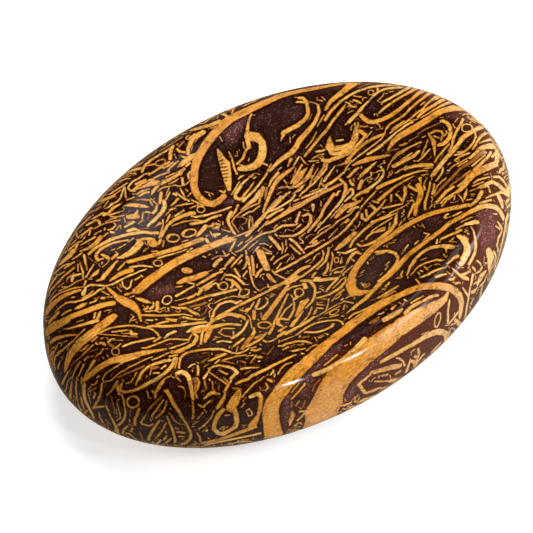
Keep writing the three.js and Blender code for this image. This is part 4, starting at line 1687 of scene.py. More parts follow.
NEAR_WALL = (
    bar(8, 356, 320, 350, 326, 329, 342, end=8.6, tone=AMBER),
    bar(8.6, 329, 342, 303, 366, end=13, tone=AMBER),
    bar(13, 303, 366, 292, 377, 278, 395, end=14.8, tone=AMBER),
    bar(14.8, 278, 395, 274, 401, 271, 409, 271, 418, 274, 440, end=18, tone=AMBER),
    bar(1.8, 337.5, 354.5, 324.5, 365, tone=AMBER),
    bar(4.6, 314, 375, 330, 368, 342, 360, end=4.4, tone=HONEY),
    bar(4.6, 342, 360, 349, 355, 361, 344, 365, 339, end=6, tone=HONEY),
    bar(14, 424, 313, 410, 321, 398, 329, end=17, tone=AMBER),
    bar(17, 398, 329, 364, 355, end=22, tone=AMBER),
    bar(22, 364, 355, 352, 365, 341, 377, end=25, tone=AMBER),
    bar(25, 341, 377, 334, 387, 324, 409, 320, 424, end=31, tone=AMBER),
    bar(2, 319.5, 379.5, 314.5, 385, 312.5, 390.5, tone=RUST),
    bar(1.4, 327, 374, 323, 378.5, tone=RUST),
    bar(2.2, 305.5, 384, 291.5, 399, end=1.8, tone=HONEY),
    bar(1.6, 299, 383.5, 291.5, 392.5, end=2.4, tone=AMBER),
    # A painted glint at the tip of the near lip's highlight
    bar(3, 304, 385, 305, 384, tone=CREAM),
    bar(1.6, 305, 401, 303.5, 406, 301, 408.5, 298, 407, tone=RUST),
    bar(2.4, 292, 402, 291, 406.5, tone=RUST),
    bar(4, 292, 412, 293, 415, 291, 420, end=5, tone=AMBER),
    bar(5, 291, 420, 290, 425, end=2, tone=AMBER),
    bar(2.6, 304.5, 413.5, 297.5, 420.5, end=1.6, tone=HONEY),
    bar(3.4, 250, 397, 256, 394, 259, 394, 261, 397, end=4.6, tone=HONEY),
    bar(4.6, 261, 397, 260, 410, 258, 416, end=4.4, tone=AMBER),
    bar(4.4, 258, 416, 252, 426, end=8, tone=AMBER),
    loop(1.3, 246, 411, 249, 409, 252, 412, 252, 415, 249, 416, tone=CREAM),
    bar(1.4, 245.5, 397.5, 243, 401.5, tone=AMBER),
    bar(3.6, 381, 362, 390, 357, 410, 346, end=4, tone=HONEY),
    bar(4, 410, 346, 427, 336, 437, 332, 442, 332, end=5.4, tone=HONEY),
    bar(6, 442, 332, 446, 334, 447, 338, 443, 345, end=3.4),
    bar(1.2, 421.5, 334.5, 429, 331.5),
    bar(4, 371, 373, 393, 367, 400, 366, end=4.6),
    bar(1.6, 396.5, 358, 399.5, 358.5, 403, 361.5, 404.5, 365.5, end=2.6, tone=HONEY),
    bar(1.6, 410.5, 359.5, 406.5, 371.5, end=2.6),
    bar(3, 411, 361, 416, 362, end=4.6),
    bar(4.4, 416, 363, 415, 367, end=2),
    bar(2.2, 418, 349, 419, 353.5, 416.5, 361, tone=HONEY),
    bar(1.8, 440.5, 343, 432.5, 351.5, end=3, tone=CREAM),
    bar(2, 420, 359.5, 421.5, 356.5, 424, 354.5, tone=CREAM),
    bar(4, 415, 356, 416, 357, tone=RUST),
    bar(2.4, 396, 374, 400, 371.5, tone=RUST),
    bar(2.4, 370, 375, 358.5, 384.5, end=3, tone=HONEY),
    bar(4.4, 360, 386, 364, 392, 367, 393, end=3, tone=HONEY),
    bar(3, 369, 392, 380, 388, end=2),
    bar(1.6, 374.5, 381.5, 388, 381),
    bar(3, 390, 381, 395, 380, tone=CREAM),
    bare(8, 291, 392, 331, 347, 342, 337, 354, 337, 361, 330),
    bare(7, 304, 372, 312, 380, 302, 395),
    bare(8, 283, 408, 284, 424, 287, 429),
    bare(7, 300, 393, 306, 390, 309, 400),
    bare(2.4, 402, 319, 385, 326.5),
    bare(8, 428, 324, 414, 335, 390, 350, 382, 358),
    bare(4, 436, 327, 440, 326),
    bare(8, 427, 343, 436, 339),
    bare(5, 410, 352, 404, 356),
    bare(3, 386, 363, 396, 361),
    bare(5, 366, 384, 367, 389),
    bare(4, 375, 386, 384, 384),
    bare(3, 262, 424, 262, 438),
    bare(3, 241, 412, 242, 424),
    bare(6, 248, 402, 254, 405, 254, 411),
)

OPEN_GROUND = (
    speckled(13, 229, 137, 237, 126, 246, 118, end=8),
    speckled(8, 225, 203, 234, 200),
    speckled(6, 296, 158, 312, 150),
    speckled(24, 487, 212, 488, 234, 487, 250, end=14),
    speckled(12, 302, 390, 318, 366, 340, 345, end=8),
    speckled(10, 290, 422, 287, 402, 296, 386),
    speckled(10, 347, 398, 364, 376, 386, 352, end=6),
    bare(10, 392, 349, 424, 326, 446, 306, end=7),
    speckled(5, 447, 116, 457, 117, 466, 121),
    bare(8, 412, 360, 440, 341),
    bare(5, 392, 284, 438, 278, end=3),
    bare(5, 372, 324, 366, 331),
    speckled(8, 160, 292, 172, 289),
    bare(9, 372, 270, 390, 252, 412, 238, 442, 225, end=5),
    bare(7, 404, 262, 424, 251, 438, 248),
    bare(10, 352, 150, 362, 140),
)

MARKINGS = (
    ("great loop", GREAT_LOOP),
    ("loop rim", LOOP_RIM),
    ("slope fish", SLOPE_FISH),
    ("slope", SLOPE),
    ("loop foot", LOOP_FOOT),
    ("top field", TOP_FIELD),
    ("boat", BOAT),
    ("far bands", FAR_BANDS),
    ("hook corner", HOOK_CORNER),
    ("right slope", RIGHT_SLOPE),
    ("eye rim", EYE_RIM),
    ("centre", CENTRE),
    ("centre right", CENTRE_RIGHT),
    ("far foot", FAR_FOOT),
    ("dish foot", DISH_FOOT),
    ("key and heel", KEY_AND_HEEL),
    ("near lip", NEAR_LIP),
    ("left fan", LEFT_FAN),
    ("left foot", LEFT_FOOT),
    ("low corner", LOW_CORNER),
    ("near wall", NEAR_WALL),
    ("open ground", OPEN_GROUND),
)


def bar_gap(places: np.ndarray, start: np.ndarray, run: np.ndarray, radii: tuple) -> np.ndarray:
    """Measures from places to the edge of one round-ended bar.

    Args:
        places: Rows of (x, y, z).
        start: Where the bar starts.
        run: The way from its start to its end.
        radii: Its half width at the start and at the end.

    Returns:
        The distance of each place, below nothing inside of the bar.
    """
    offset = places - start
    t = np.clip(offset @ run / max(run @ run, 1e-9), 0, 1)
    return np.linalg.norm(offset - run * t[:, None], axis=1) - radii[0] - (radii[1] - radii[0]) * t


@dataclass
class Bars:
    """Markings as chains of round-ended bars on the surface, each with a tone."""

    starts: list = field(default_factory=list)
    ends: list = field(default_factory=list)
    radii: list = field(default_factory=list)
    tones: list = field(default_factory=list)

    def add(self, points: np.ndarray, radii: np.ndarray, tone: float) -> None:
        """Adds a chain.

        Args:
            points: Rows of (x, y, z).
            radii: The half width at each point.
            tone: The chain's place on the colour ramp.
        """
        self.starts.extend(points[:-1])
        self.ends.extend(points[1:])
        self.radii.extend(zip(radii[:-1], radii[1:]))
        self.tones.extend([tone] * (len(points) - 1))

    def arrays(self) -> tuple[np.ndarray, np.ndarray, np.ndarray, np.ndarray]:
        """Gives the bars as arrays: starts, ends, half widths and tones."""
        return np.array(self.starts), np.array(self.ends), np.array(self.radii), np.array(self.tones)

    def gap(self, places: np.ndarray) -> np.ndarray:
        """Measures from each place to the nearest bar's edge.

        Args:
            places: Rows of (x, y, z).

        Returns:
            The distance of each place, below nothing inside of a bar.
        """
        nearest = np.full(len(places), np.inf)
        for start, end, radii in zip(self.starts, self.ends, self.radii):
            nearest = np.minimum(nearest, bar_gap(places, start, end - start, radii))
        return nearest


@dataclass(frozen=True)
class Drift:
    """One size range of loose slivers.

    It says how many are tried, how often each shape comes, the range of lengths and of widths, how far
    they stray from the flow, in degrees, and which share of a sliver may lie on others.
    """

    tries: int
    shapes: dict
    length: tuple
    width: tuple
    stray: float
    overlap: float


@dataclass
class Scatter:
    """Fills the stone with loose slivers, the largest first, with thin dark gaps between them."""

    chart: StoneChart
    slivers: Bars
    open_ground: Bars
    seed: int = 7
    pitch: float = 0.06
    gap: float = 0.05
    margin: float = 0.22
    drawn_reach: float = 1.0
    past_girdle: float = 3.0
    over_edge: float = 0.2
    free_below: float = 0.35
    rounds: int = 8
    bare_strips: int = 24
    usual_tone: tuple = (0.36, 0.2)
    dark_tone: tuple = (0.75, 1.0)
    dark_share: float = 0.07
    drifts: tuple = (
        Drift(700, {"bar": 3, "curl": 1}, (4.0, 9.0), (0.4, 0.8), 12, 0.02),
        Drift(5000, {"bar": 3, "curl": 2, "leaf": 1, "loop": 0.5}, (2.0, 4.5), (0.16, 0.5), 18, 0.04),
        Drift(15000, {"bar": 3, "curl": 3, "leaf": 1, "ring": 0.4, "loop": 0.6, "horn": 1.5}, (1.0, 2.4),
              (0.11, 0.36), 30, 0.05),
        Drift(24000, {"bar": 2, "curl": 2, "leaf": 1, "chip": 2, "ring": 0.2, "horn": 1}, (0.45, 1.2),
              (0.09, 0.26), 42, 0.06),
        Drift(16000, {"bar": 1, "chip": 3}, (0.16, 0.5), (0.07, 0.17), 60, 0.08),
    )
    rng: np.random.Generator = field(init=False)
    taken: dict = field(init=False)
    drawn: dict = field(init=False)
    half: dict = field(init=False)

    def __post_init__(self) -> None:
        """Makes the empty maps of what is taken, and of what lies near a marking, one for each chart."""
        self.rng = np.random.default_rng(self.seed)
        self.half = {}
        self.taken = {}
        self.drawn = {}
        for side in Side:
            across = self.chart.reach(side) + self.past_girdle
            self.half[side] = np.array([across * self.chart.form.stretch, across])
            shape = (2 * self.half[side] / self.pitch).astype(int) + 2
            self.taken[side] = np.zeros(shape, dtype=bool)
            self.drawn[side] = np.zeros(shape, dtype=bool)

    def cells(self, side: Side, uv: np.ndarray) -> tuple[np.ndarray, np.ndarray, bool]:
        """Finds the map cells of chart places.

        Args:
            side: The chart.
            uv: Rows of chart places.

        Returns:
            The cells' rows and columns, and whether all places lie on the map.
        """
        spot = ((uv + self.half[side]) / self.pitch).astype(int)
        shape = np.array(self.taken[side].shape)
        inside = ((spot >= 0) & (spot < shape)).all(1)
        return spot[inside, 0], spot[inside, 1], bool(inside.all())

    def spread(self, uv: np.ndarray, radii: np.ndarray, margin: float) -> np.ndarray:
        """Fills a chain's width with sample places.

        Args:
            uv: The chain's chart places.
            radii: The half width at each place.
            margin: What is added to each half width.

        Returns:
            Rows of chart places that cover the chain.
        """
        step = np.diff(uv, axis=0)
        length = np.maximum(np.hypot(step[:, 0], step[:, 1]), TINY)
        normal = np.column_stack([-step[:, 1], step[:, 0]]) / length[:, None]
        n_along = int(length.max() / self.pitch) + 2
        n_across = int(2 * (radii.max() + margin) / self.pitch) + 2
        t = np.linspace(0.0, 1.0, n_along)[None, :, None, None]
        half = (radii[:-1, None] + np.diff(radii)[:, None] * t[0, :, 0, 0]) + margin
        across = np.linspace(-1.0, 1.0, n_across)[None, None, :] * half[:, :, None]
        places = uv[:-1, None, None, :] + step[:, None, None, :] * t
        return (places + normal[:, None, None, :] * across[..., None]).reshape(-1, 2)

    def mark(self, side: Side, places: np.ndarray) -> None:
        """Marks sample places as taken, on both charts.

        Args:
            side: The chart that the places are on.
            places: Rows of chart places.
        """
        a, b, _ = self.cells(side, places)
        self.taken[side][a, b] = True
        arc = np.hypot(places[:, 0] / self.chart.form.stretch, places[:, 1])
        there = Side.UNDER if side is Side.TOP else Side.TOP
        mirrored = places * ((self.chart.total_arc - arc) / np.maximum(arc, TINY))[:, None]
        a, b, _ = self.cells(there, mirrored)
        self.taken[there][a, b] = True

    def mark_space(self, points: np.ndarray, radii: np.ndarray) -> None:
        """Marks a chain given in space as taken, with a margin that loose slivers keep out of.

        Args:
            points: Rows of (x, y, z).
            radii: The half width at each point.
        """
        for side in Side:
            uv = self.chart.chart(side, points)
            a, b, _ = self.cells(side, self.spread(uv, radii, self.margin))
            self.taken[side][a, b] = True
            a, b, _ = self.cells(side, self.spread(uv, radii, self.drawn_reach))
            self.drawn[side][a, b] = True

    def shape(self, kind: str, length: float, width: float) -> tuple[np.ndarray, np.ndarray]:
        """Draws one sliver flat, round its own middle.

        Args:
            kind: bar, curl, horn, ring, loop, leaf or chip.
            length: Its length.
            width: Its greatest width.

        Returns:
            The places along it and the half width at each.
        """
        rng = self.rng
        if kind in ("ring", "loop"):
            t = np.linspace(0.0, 2 * math.pi, 11)
            squash = rng.uniform(0.55, 1.0) if kind == "ring" else rng.uniform(0.18, 0.4)
            long_half = length / 6 if kind == "ring" else length / 3
            line = np.column_stack([np.cos(t) * long_half, np.sin(t) * long_half * squash])
            return line, np.full(len(t), min(width * 0.3, long_half * squash * 0.45))
        turn, bow, count = rng.normal(0, 0.35), rng.normal(0, 0.3), 5
        if kind in ("curl", "horn"):
            turn, count = math.radians(rng.uniform(60, 220)) * rng.choice([-1, 1]), 7
        if kind == "chip":
            count = 3
        t = np.linspace(0.0, 1.0, count)
        heading = turn * (t - 0.5) + bow * np.sin(2 * math.pi * t)
        steps = np.column_stack([np.cos(heading[:-1]), np.sin(heading[:-1])]) * length / (count - 1)
        line = np.concatenate([[[0.0, 0.0]], np.cumsum(steps, 0)])
        form = {"leaf": Form.LEAF, "horn": Form.HORN}.get(kind, Form.BAR)
        half = width / 2 * width_profile(form, t)
        if kind in ("chip", "bar"):
            half = half * rng.uniform(0.75, 1.2, count)
        return line - line.mean(0), half

    def flow(self, point: np.ndarray) -> float:
        """Finds the way that slivers lie at a point: it sways to and fro over the stone.

        Args:
            point: The point's x, y and z.

        Returns:
            The angle from the stone's long way.
        """
        x, y, z = point
        sway = 24 * math.sin(0.17 * x + 0.31 * y + 0.6)
        return math.radians(sway + 20 * math.sin(0.29 * y - 0.23 * x + 0.4 * z + 2.0))

    def crowding(self, side: Side, window: float) -> np.ndarray:
        """Finds how full the map is round each cell.

        Args:
            side: The chart.
            window: The side of the square that is looked at.

        Returns:
            The full share of the square round each cell.
        """
        n = max(1, int(window / self.pitch / 2))
        full = np.pad(self.taken[side].astype(np.float32), n + 1, mode="edge").cumsum(0).cumsum(1)
        k = 2 * n + 1
        total = full[k:, k:] - full[:-k, k:] - full[k:, :-k] + full[:-k, :-k]
        shape = self.taken[side].shape
        return total[: shape[0], : shape[1]] / (k * k)

    def free_places(self, side: Side, drift: Drift) -> np.ndarray:
        """Finds the chart places round which slivers of one size range still have room.

        Args:
            side: The chart.
            drift: The size range.

        Returns:
            Rows of chart places.
        """
        crowded = self.crowding(side, (drift.length[0] + drift.width[1]) / 2)
        places = (np.argwhere(crowded < self.free_below) + 0.5) * self.pitch - self.half[side]
        arc = np.hypot(places[:, 0] / self.chart.form.stretch, places[:, 1])
        return places[arc < self.chart.reach(side) + self.over_edge]

    def loose_tone(self) -> float:
        """Picks the tone of a loose sliver: mostly near ochre, now and then rust.

        Returns:
            Its place on the colour ramp.
        """
        tone = float(np.clip(self.rng.normal(*self.usual_tone), 0, 1))
        if self.rng.random() < self.dark_share:
            tone = self.rng.uniform(*self.dark_tone)
        return tone

    def drop(self, side: Side, uv: np.ndarray, drift: Drift) -> bool:
        """Drops a loose sliver at a chart place, where it fits.

        Args:
            side: The chart.
            uv: The place of its middle.
            drift: Its size range.

        Returns:
            Whether it fits.
        """
        rng = self.rng
        a, b, _ = self.cells(side, uv[None])
        if self.taken[side][a, b].any():
            return False
        shares = np.array(list(drift.shapes.values()))
        kind = list(drift.shapes)[rng.choice(len(shares), p=shares / shares.sum())]
        if self.drawn[side][a, b].any() and kind not in ("bar", "chip"):
            return False
        length = math.exp(rng.uniform(*np.log(drift.length)))
        width = math.exp(rng.uniform(*np.log(drift.width)))
        line, half = self.shape(kind, length, width)
        stray = math.radians(rng.normal(0, drift.stray))
        angle = self.flow(self.chart.place(side, uv[None])[0]) + stray
        turn = np.array([[math.cos(angle), -math.sin(angle)], [math.sin(angle), math.cos(angle)]])
        path = uv + line @ turn.T @ self.chart.local_frame(side, uv).T
        a, b, inside = self.cells(side, self.spread(path, half, self.gap))
        if not inside or self.taken[side][a, b].mean() > drift.overlap:
            return False
        self.mark(side, self.spread(path, half, 0.0))
        self.slivers.add(self.chart.place(side, path), half, self.loose_tone())
        return True

    def fill(self, drift: Drift) -> int:
        """Drops the slivers of one size range into the free places, by turns on both charts.

        Args:
            drift: The size range.

        Returns:
            How many fit.
        """
        placed = 0
        for step in range(self.rounds):
            side = list(Side)[step % 2]
            places = self.free_places(side, drift)
            if not len(places):
                continue
            for uv in places[self.rng.integers(0, len(places), drift.tries // self.rounds)]:
                placed += self.drop(side, uv, drift)
        return placed

    def leave_bare(self, count: int) -> None:
        """Keeps strips of dark ground open on the underside and the far side.

        Args:
            count: How many strips are tried.
        """
        rng = self.rng
        for _ in range(count):
            reach = self.chart.reach(Side.UNDER)
            angle = rng.uniform(0, 2 * math.pi)
            spot = np.array([math.cos(angle) * self.chart.form.stretch, math.sin(angle)]) * reach
            line, half = self.shape("bar", rng.uniform(1.5, 5.0), rng.uniform(1.2, 2.6))
            path = spot * rng.uniform(0.1, 1.0) ** 0.5 + line
            points = self.chart.place(Side.UNDER, path)
            if self.chart.polar(points)[0].min() < self.chart.girdle_arc - 1.0:
                continue
            if self.taken[Side.UNDER][self.cells(Side.UNDER, path)[:2]].any():
                continue
            self.open_ground.add(points, half, 0.0)
            self.mark(Side.UNDER, self.spread(path, half, 0.0))

    def run(self) -> None:
        """Fills the whole stone, from long bands to small chips."""
        self.leave_bare(self.bare_strips)
        for drift in self.drifts:
            placed = self.fill(drift)
            log.info("slivers %.1f to %.1f mm long: %d placed", *drift.length, placed)


@dataclass
class FaceFinder:
    """Finds the faces near a bar, among the surface's faces in rings, each ring sorted by angle."""

    chart: StoneChart
    centres: np.ndarray
    rings: int
    around: int
    sample: float = 0.5
    least_radius: float = 0.05
    members: list = field(init=False, default_factory=list)
    angles: list = field(init=False, default_factory=list)

    def __post_init__(self) -> None:
        """Sorts the faces."""
        arc, angle = self.chart.polar(self.centres)
        ring = np.floor(arc / self.ring_step).astype(np.int64)
        by_ring = np.argsort(ring, kind="stable")
        cuts = np.searchsorted(ring[by_ring], np.arange(self.rings + 2))
        for first, last in zip(cuts, cuts[1:]):
            members = by_ring[first:last]
            self.members.append(members[np.argsort(angle[members])])
        self.angles = [angle[members] for members in self.members]

    @property
    def ring_step(self) -> float:
        """The arc length from one ring of faces to the next."""
        return self.chart.total_arc / self.rings

    def in_ring(self, ring: int, middle: float, spread: float, wide: float) -> list:
        """Finds the faces of one ring that may lie near a bar.

        Args:
            ring: The ring's number.
            middle: The angle of the bar's middle.
            spread: How far the bar reaches to both sides of it, as an angle.
            wide: How far a face may lie from the bar.

        Returns:
            Arrays of face numbers.
        """
        members, angles = self.members[ring], self.angles[ring]
        if not len(members):
            return []
        x, y, _ = self.centres[members[0]]
        radius = np.hypot(x / self.chart.form.stretch, y)
        reach = spread + wide / max(radius, self.least_radius) + 2 * math.pi / self.around
        if reach >= math.pi:
            return [members]
        low, high = middle - reach, middle + reach
        a, b = np.searchsorted(angles, (low, high))
        found = [members[a:b]]
        if low < -math.pi:
            found.append(members[np.searchsorted(angles, low + 2 * math.pi):])
        if high > math.pi:
            found.append(members[: np.searchsorted(angles, high - 2 * math.pi)])
        return found

    def near(self, start: np.ndarray, run: np.ndarray, wide: float) -> np.ndarray:
        """Finds the faces that may lie near a bar.

        Args:
            start: Where the bar starts.
            run: The way from its start to its end.
            wide: How far a face may lie from it.

        Returns:
            The faces' numbers.
        """
        steps = int(np.linalg.norm(run) / self.sample) + 2
        samples = start + run * np.linspace(0, 1, steps)[:, None]
        arc, angle = self.chart.polar(samples)
        first = max(int((arc.min() - wide) / self.ring_step), 0)
        last = min(int((arc.max() + wide) / self.ring_step), self.rings)
        middle = angle[steps // 2]
        spread = np.abs((angle - middle + math.pi) % (2 * math.pi) - math.pi).max()
        found = []
        for ring in range(first, last + 1):
            found += self.in_ring(ring, middle, spread, wide)
        return np.concatenate(found)


@dataclass
class PolishedStone:
    """The stone's fine surface, spun from its section, and what its faces know of the markings."""

    chart: StoneChart
    rings: int = 168
    around: int = 560
    sliver_slots: int = 8
    crack_slots: int = 2
    near: float = 0.45
    close: float = 0.2
    far_off: float = -50.0
    piece: bpy.types.Object = None

    def build(self) -> bpy.types.Object:
        """Spins the section round the upright axis and draws it out to the oval plan.

        Returns:
            The piece.
        """
        bpy.ops.object.select_all(action="DESELECT")
        bpy.ops.mesh.primitive_grid_add(x_subdivisions=self.rings, y_subdivisions=1, size=2 * MM)
        piece = bpy.context.object
        piece.name = "polished_stone"
        bpy.ops.object.mode_set(mode="EDIT")
        bpy.ops.mesh.select_all(action="DESELECT")
        bpy.ops.object.mode_set(mode="OBJECT")
        for vertex in piece.data.vertices:
            vertex.select = vertex.co.y > 0
        bpy.ops.object.mode_set(mode="EDIT")
        bpy.ops.mesh.delete(type="VERT")
        bpy.ops.object.mode_set(mode="OBJECT")
        line = sorted(piece.data.vertices, key=lambda v: v.co.x)
        rows = self.chart.rows
        for i, vertex in enumerate(line):
            arc = self.chart.total_arc * i / (len(line) - 1)
            radius = np.interp(arc, rows[:, 0], rows[:, 1])
            height = np.interp(arc, rows[:, 0], rows[:, 2])
            vertex.co = (radius * MM, 0.0, height * MM)
        spin = piece.modifiers.new("spin", "SCREW")
        spin.steps = self.around
        spin.render_steps = self.around
        spin.use_merge_vertices = True
        spin.merge_threshold = MERGE
        bpy.ops.object.modifier_apply(modifier=spin.name)
        bpy.ops.object.mode_set(mode="EDIT")
        bpy.ops.mesh.select_all(action="SELECT")
        bpy.ops.mesh.remove_doubles(threshold=MERGE)
        bpy.ops.mesh.select_all(action="SELECT")
        bpy.ops.mesh.normals_make_consistent(inside=False)
        bpy.ops.transform.resize(value=(self.chart.form.stretch, 1, 1), center_override=(0, 0, 0))
        bpy.ops.object.mode_set(mode="OBJECT")
        bpy.ops.object.shade_smooth()
        self.piece = piece
        return piece

    def numbers(self, items: object, name: str, width: int, kind: type = float) -> np.ndarray:
        """Reads one property of all items of the mesh.

        Args:
            items: The mesh's vertices, loops or faces.
            name: The property.
            width: How many numbers it has.
            kind: The kind of number.

        Returns:
            The numbers, in rows where there are more than one.
        """
        values = np.empty(len(items) * width, dtype=kind)
        items.foreach_get(name, values)
        return values.reshape(-1, width) if width > 1 else values

    def lay_map(self) -> None:
        """Lays the piece's own map: the top and the underside side by side, true to scale."""
        mesh = self.piece.data
        for old in list(mesh.uv_layers):
            mesh.uv_layers.remove(old)
        layer = mesh.uv_layers.new(name="OFBake")
        places = self.numbers(mesh.vertices, "co", 3) / MM
        loops = self.numbers(mesh.loops, "vertex_index", 1, np.int64)
        counts = self.numbers(mesh.polygons, "loop_total", 1, np.int64)
        arc, _ = self.chart.polar(places)
        face_of_loop = np.repeat(np.arange(len(counts)), counts)
        face_arc = np.bincount(face_of_loop, arc[loops]) / counts
        on_top = face_arc[face_of_loop] < self.chart.girdle_arc
        margin = 1.02
        top_reach = self.chart.reach(Side.TOP) * margin
        under_reach = self.chart.reach(Side.UNDER) * margin
        wide = 2 * max(top_reach, under_reach) * self.chart.form.stretch
        side = max(wide, 2 * (top_reach + under_reach))
        top = self.chart.chart(Side.TOP, places)[loops] + (wide / 2, top_reach)
        under = self.chart.chart(Side.UNDER, places)[loops] + (wide / 2, 2 * top_reach + under_reach)
        uv = np.where(on_top[:, None], top, under) / side
        layer.data.foreach_set("uv", uv.astype(np.float32).ravel())

    def know(self, bars: Bars, slots: int, prefix: str) -> None:
        """Stores on each face the bars nearest to it, so that the finish can measure to them.

        Args:
            bars: The bars.
            slots: How many a face can store.
            prefix: What the stored values are called.
        """
        arrays = bars.arrays()
        centres = self.numbers(self.piece.data.polygons, "center", 3) / MM
        finder = FaceFinder(self.chart, centres, self.rings, self.around)
        faces, owners, gaps = [], [], []
        for number, (start, end, radii, _) in enumerate(zip(*arrays)):
            found = finder.near(start, end - start, radii.max() + self.near)
            gap = bar_gap(centres[found], start, end - start, radii)
            keep = gap < self.near
            faces.append(found[keep])
            gaps.append(gap[keep])
            owners.append(np.full(int(keep.sum()), number))
        face, owner, gap = np.concatenate(faces), np.concatenate(owners), np.concatenate(gaps)
        order = np.lexsort((gap, face))
        face, owner, gap = face[order], owner[order], gap[order]
        rank = np.arange(len(face)) - np.searchsorted(face, face)
        crowded = int((np.bincount(face[gap < self.close]) > slots).sum())
        log.info("%s: %d bars, %d faces have more than %d near", prefix, len(bars.starts), crowded, slots)
        for n in range(slots):
            pick = rank == n
            self.store(f"{prefix}{n}", face[pick], owner[pick], arrays)

    def store(self, name: str, face: np.ndarray, owner: np.ndarray, arrays: tuple) -> None:
        """Stores one bar on each of some faces, and one far away on the others.

        Args:
            name: What the stored values are called.
            face: The faces' numbers.
            owner: The number of the bar of each.
            arrays: The starts, ends, half widths and tones of all bars.
        """
        starts, ends, radii, tones = (values[owner] for values in arrays)
        mesh = self.piece.data
        count = len(mesh.polygons)
        stored = {
            "start": np.full((count, 3), self.far_off),
            "run": np.tile((0.01, 0.0, 0.0), (count, 1)),
            "size": np.zeros((count, 3)),
        }
        stored["start"][face] = starts
        stored["run"][face] = ends - starts
        stored["size"][face] = np.column_stack([radii[:, 0], radii[:, 1] - radii[:, 0], tones])
        for key, values in stored.items():
            layer = mesh.attributes.new(f"{name}_{key}", "FLOAT_VECTOR", "FACE")
            layer.data.foreach_set("vector", values.astype(np.float32).ravel())

    def know_ground(self, strips: tuple, name: str, soft: float) -> None:
        """Stores at each point how far into strips of open ground it lies, from 0 outside to 1 inside.

        Args:
            strips: Lists of strips.
            name: What the stored value is called.
            soft: Over which distance it changes.
        """
        mesh = self.piece.data
        places = self.numbers(mesh.vertices, "co", 3) / MM
        gap = np.min([strip.gap(places) for strip in strips], axis=0)
        share = np.clip(0.5 - gap / soft, 0, 1)
        layer = mesh.attributes.new(name, "FLOAT", "POINT")
        layer.data.foreach_set("value", share.astype(np.float32))


def group_sockets(group: bpy.types.NodeTree, inputs: dict,
                  outputs: dict) -> tuple[bpy.types.Node, bpy.types.Node]:
    """Gives a node group its named sockets.

    Args:
        group: The group.
        inputs: Socket types by input name.
        outputs: Socket types by output name.

    Returns:
        The group's input and output nodes.
    """
    for name, kind in inputs.items():
        group.interface.new_socket(name=name, in_out="INPUT", socket_type=kind)
    for name, kind in outputs.items():
        group.interface.new_socket(name=name, in_out="OUTPUT", socket_type=kind)
    return group.nodes.new("NodeGroupInput"), group.nodes.new("NodeGroupOutput")


def nearer_bar_group() -> bpy.types.NodeTree:
    """Builds the group that measures to one bar and keeps the nearer of it and what came before.

    Returns:
        The group.
    """
    group = bpy.data.node_groups.new("nearer_bar", "ShaderNodeTree")
    vector = "NodeSocketVector"
    number = "NodeSocketFloat"
    given, result = group_sockets(
        group,
        {"Place": vector, "Start": vector, "Run": vector, "Size": vector, "Gap": number, "Tone": number},
        {"Gap": number, "Tone": number},
    )
    w = NodeWriter(group)
    offset = w.vector("SUBTRACT", given.outputs["Place"], given.outputs["Start"]).outputs[0]
    along = w.vector("DOT_PRODUCT", offset, given.outputs["Run"]).outputs["Value"]
    square = w.vector("DOT_PRODUCT", given.outputs["Run"], given.outputs["Run"]).outputs["Value"]
    share = w.math("DIVIDE", along, square, clamp=True)
    nearest = w.vector("SCALE", given.outputs["Run"], scale=share).outputs[0]
    away = w.vector("DISTANCE", offset, nearest).outputs["Value"]
    size = w.node("ShaderNodeSeparateXYZ")
    w.join(given.outputs["Size"], size.inputs[0])
    half = w.math("MULTIPLY_ADD", size.outputs[1], share, size.outputs[0])
    gap = w.math("SUBTRACT", away, half)
    nearer = w.math("LESS_THAN", gap, given.outputs["Gap"])
    w.join(w.math("MINIMUM", gap, given.outputs["Gap"]), result.inputs["Gap"])
    change = w.math("SUBTRACT", size.outputs[2], given.outputs["Tone"])
    w.join(w.math("MULTIPLY_ADD", change, nearer, given.outputs["Tone"]), result.inputs["Tone"])
    return group


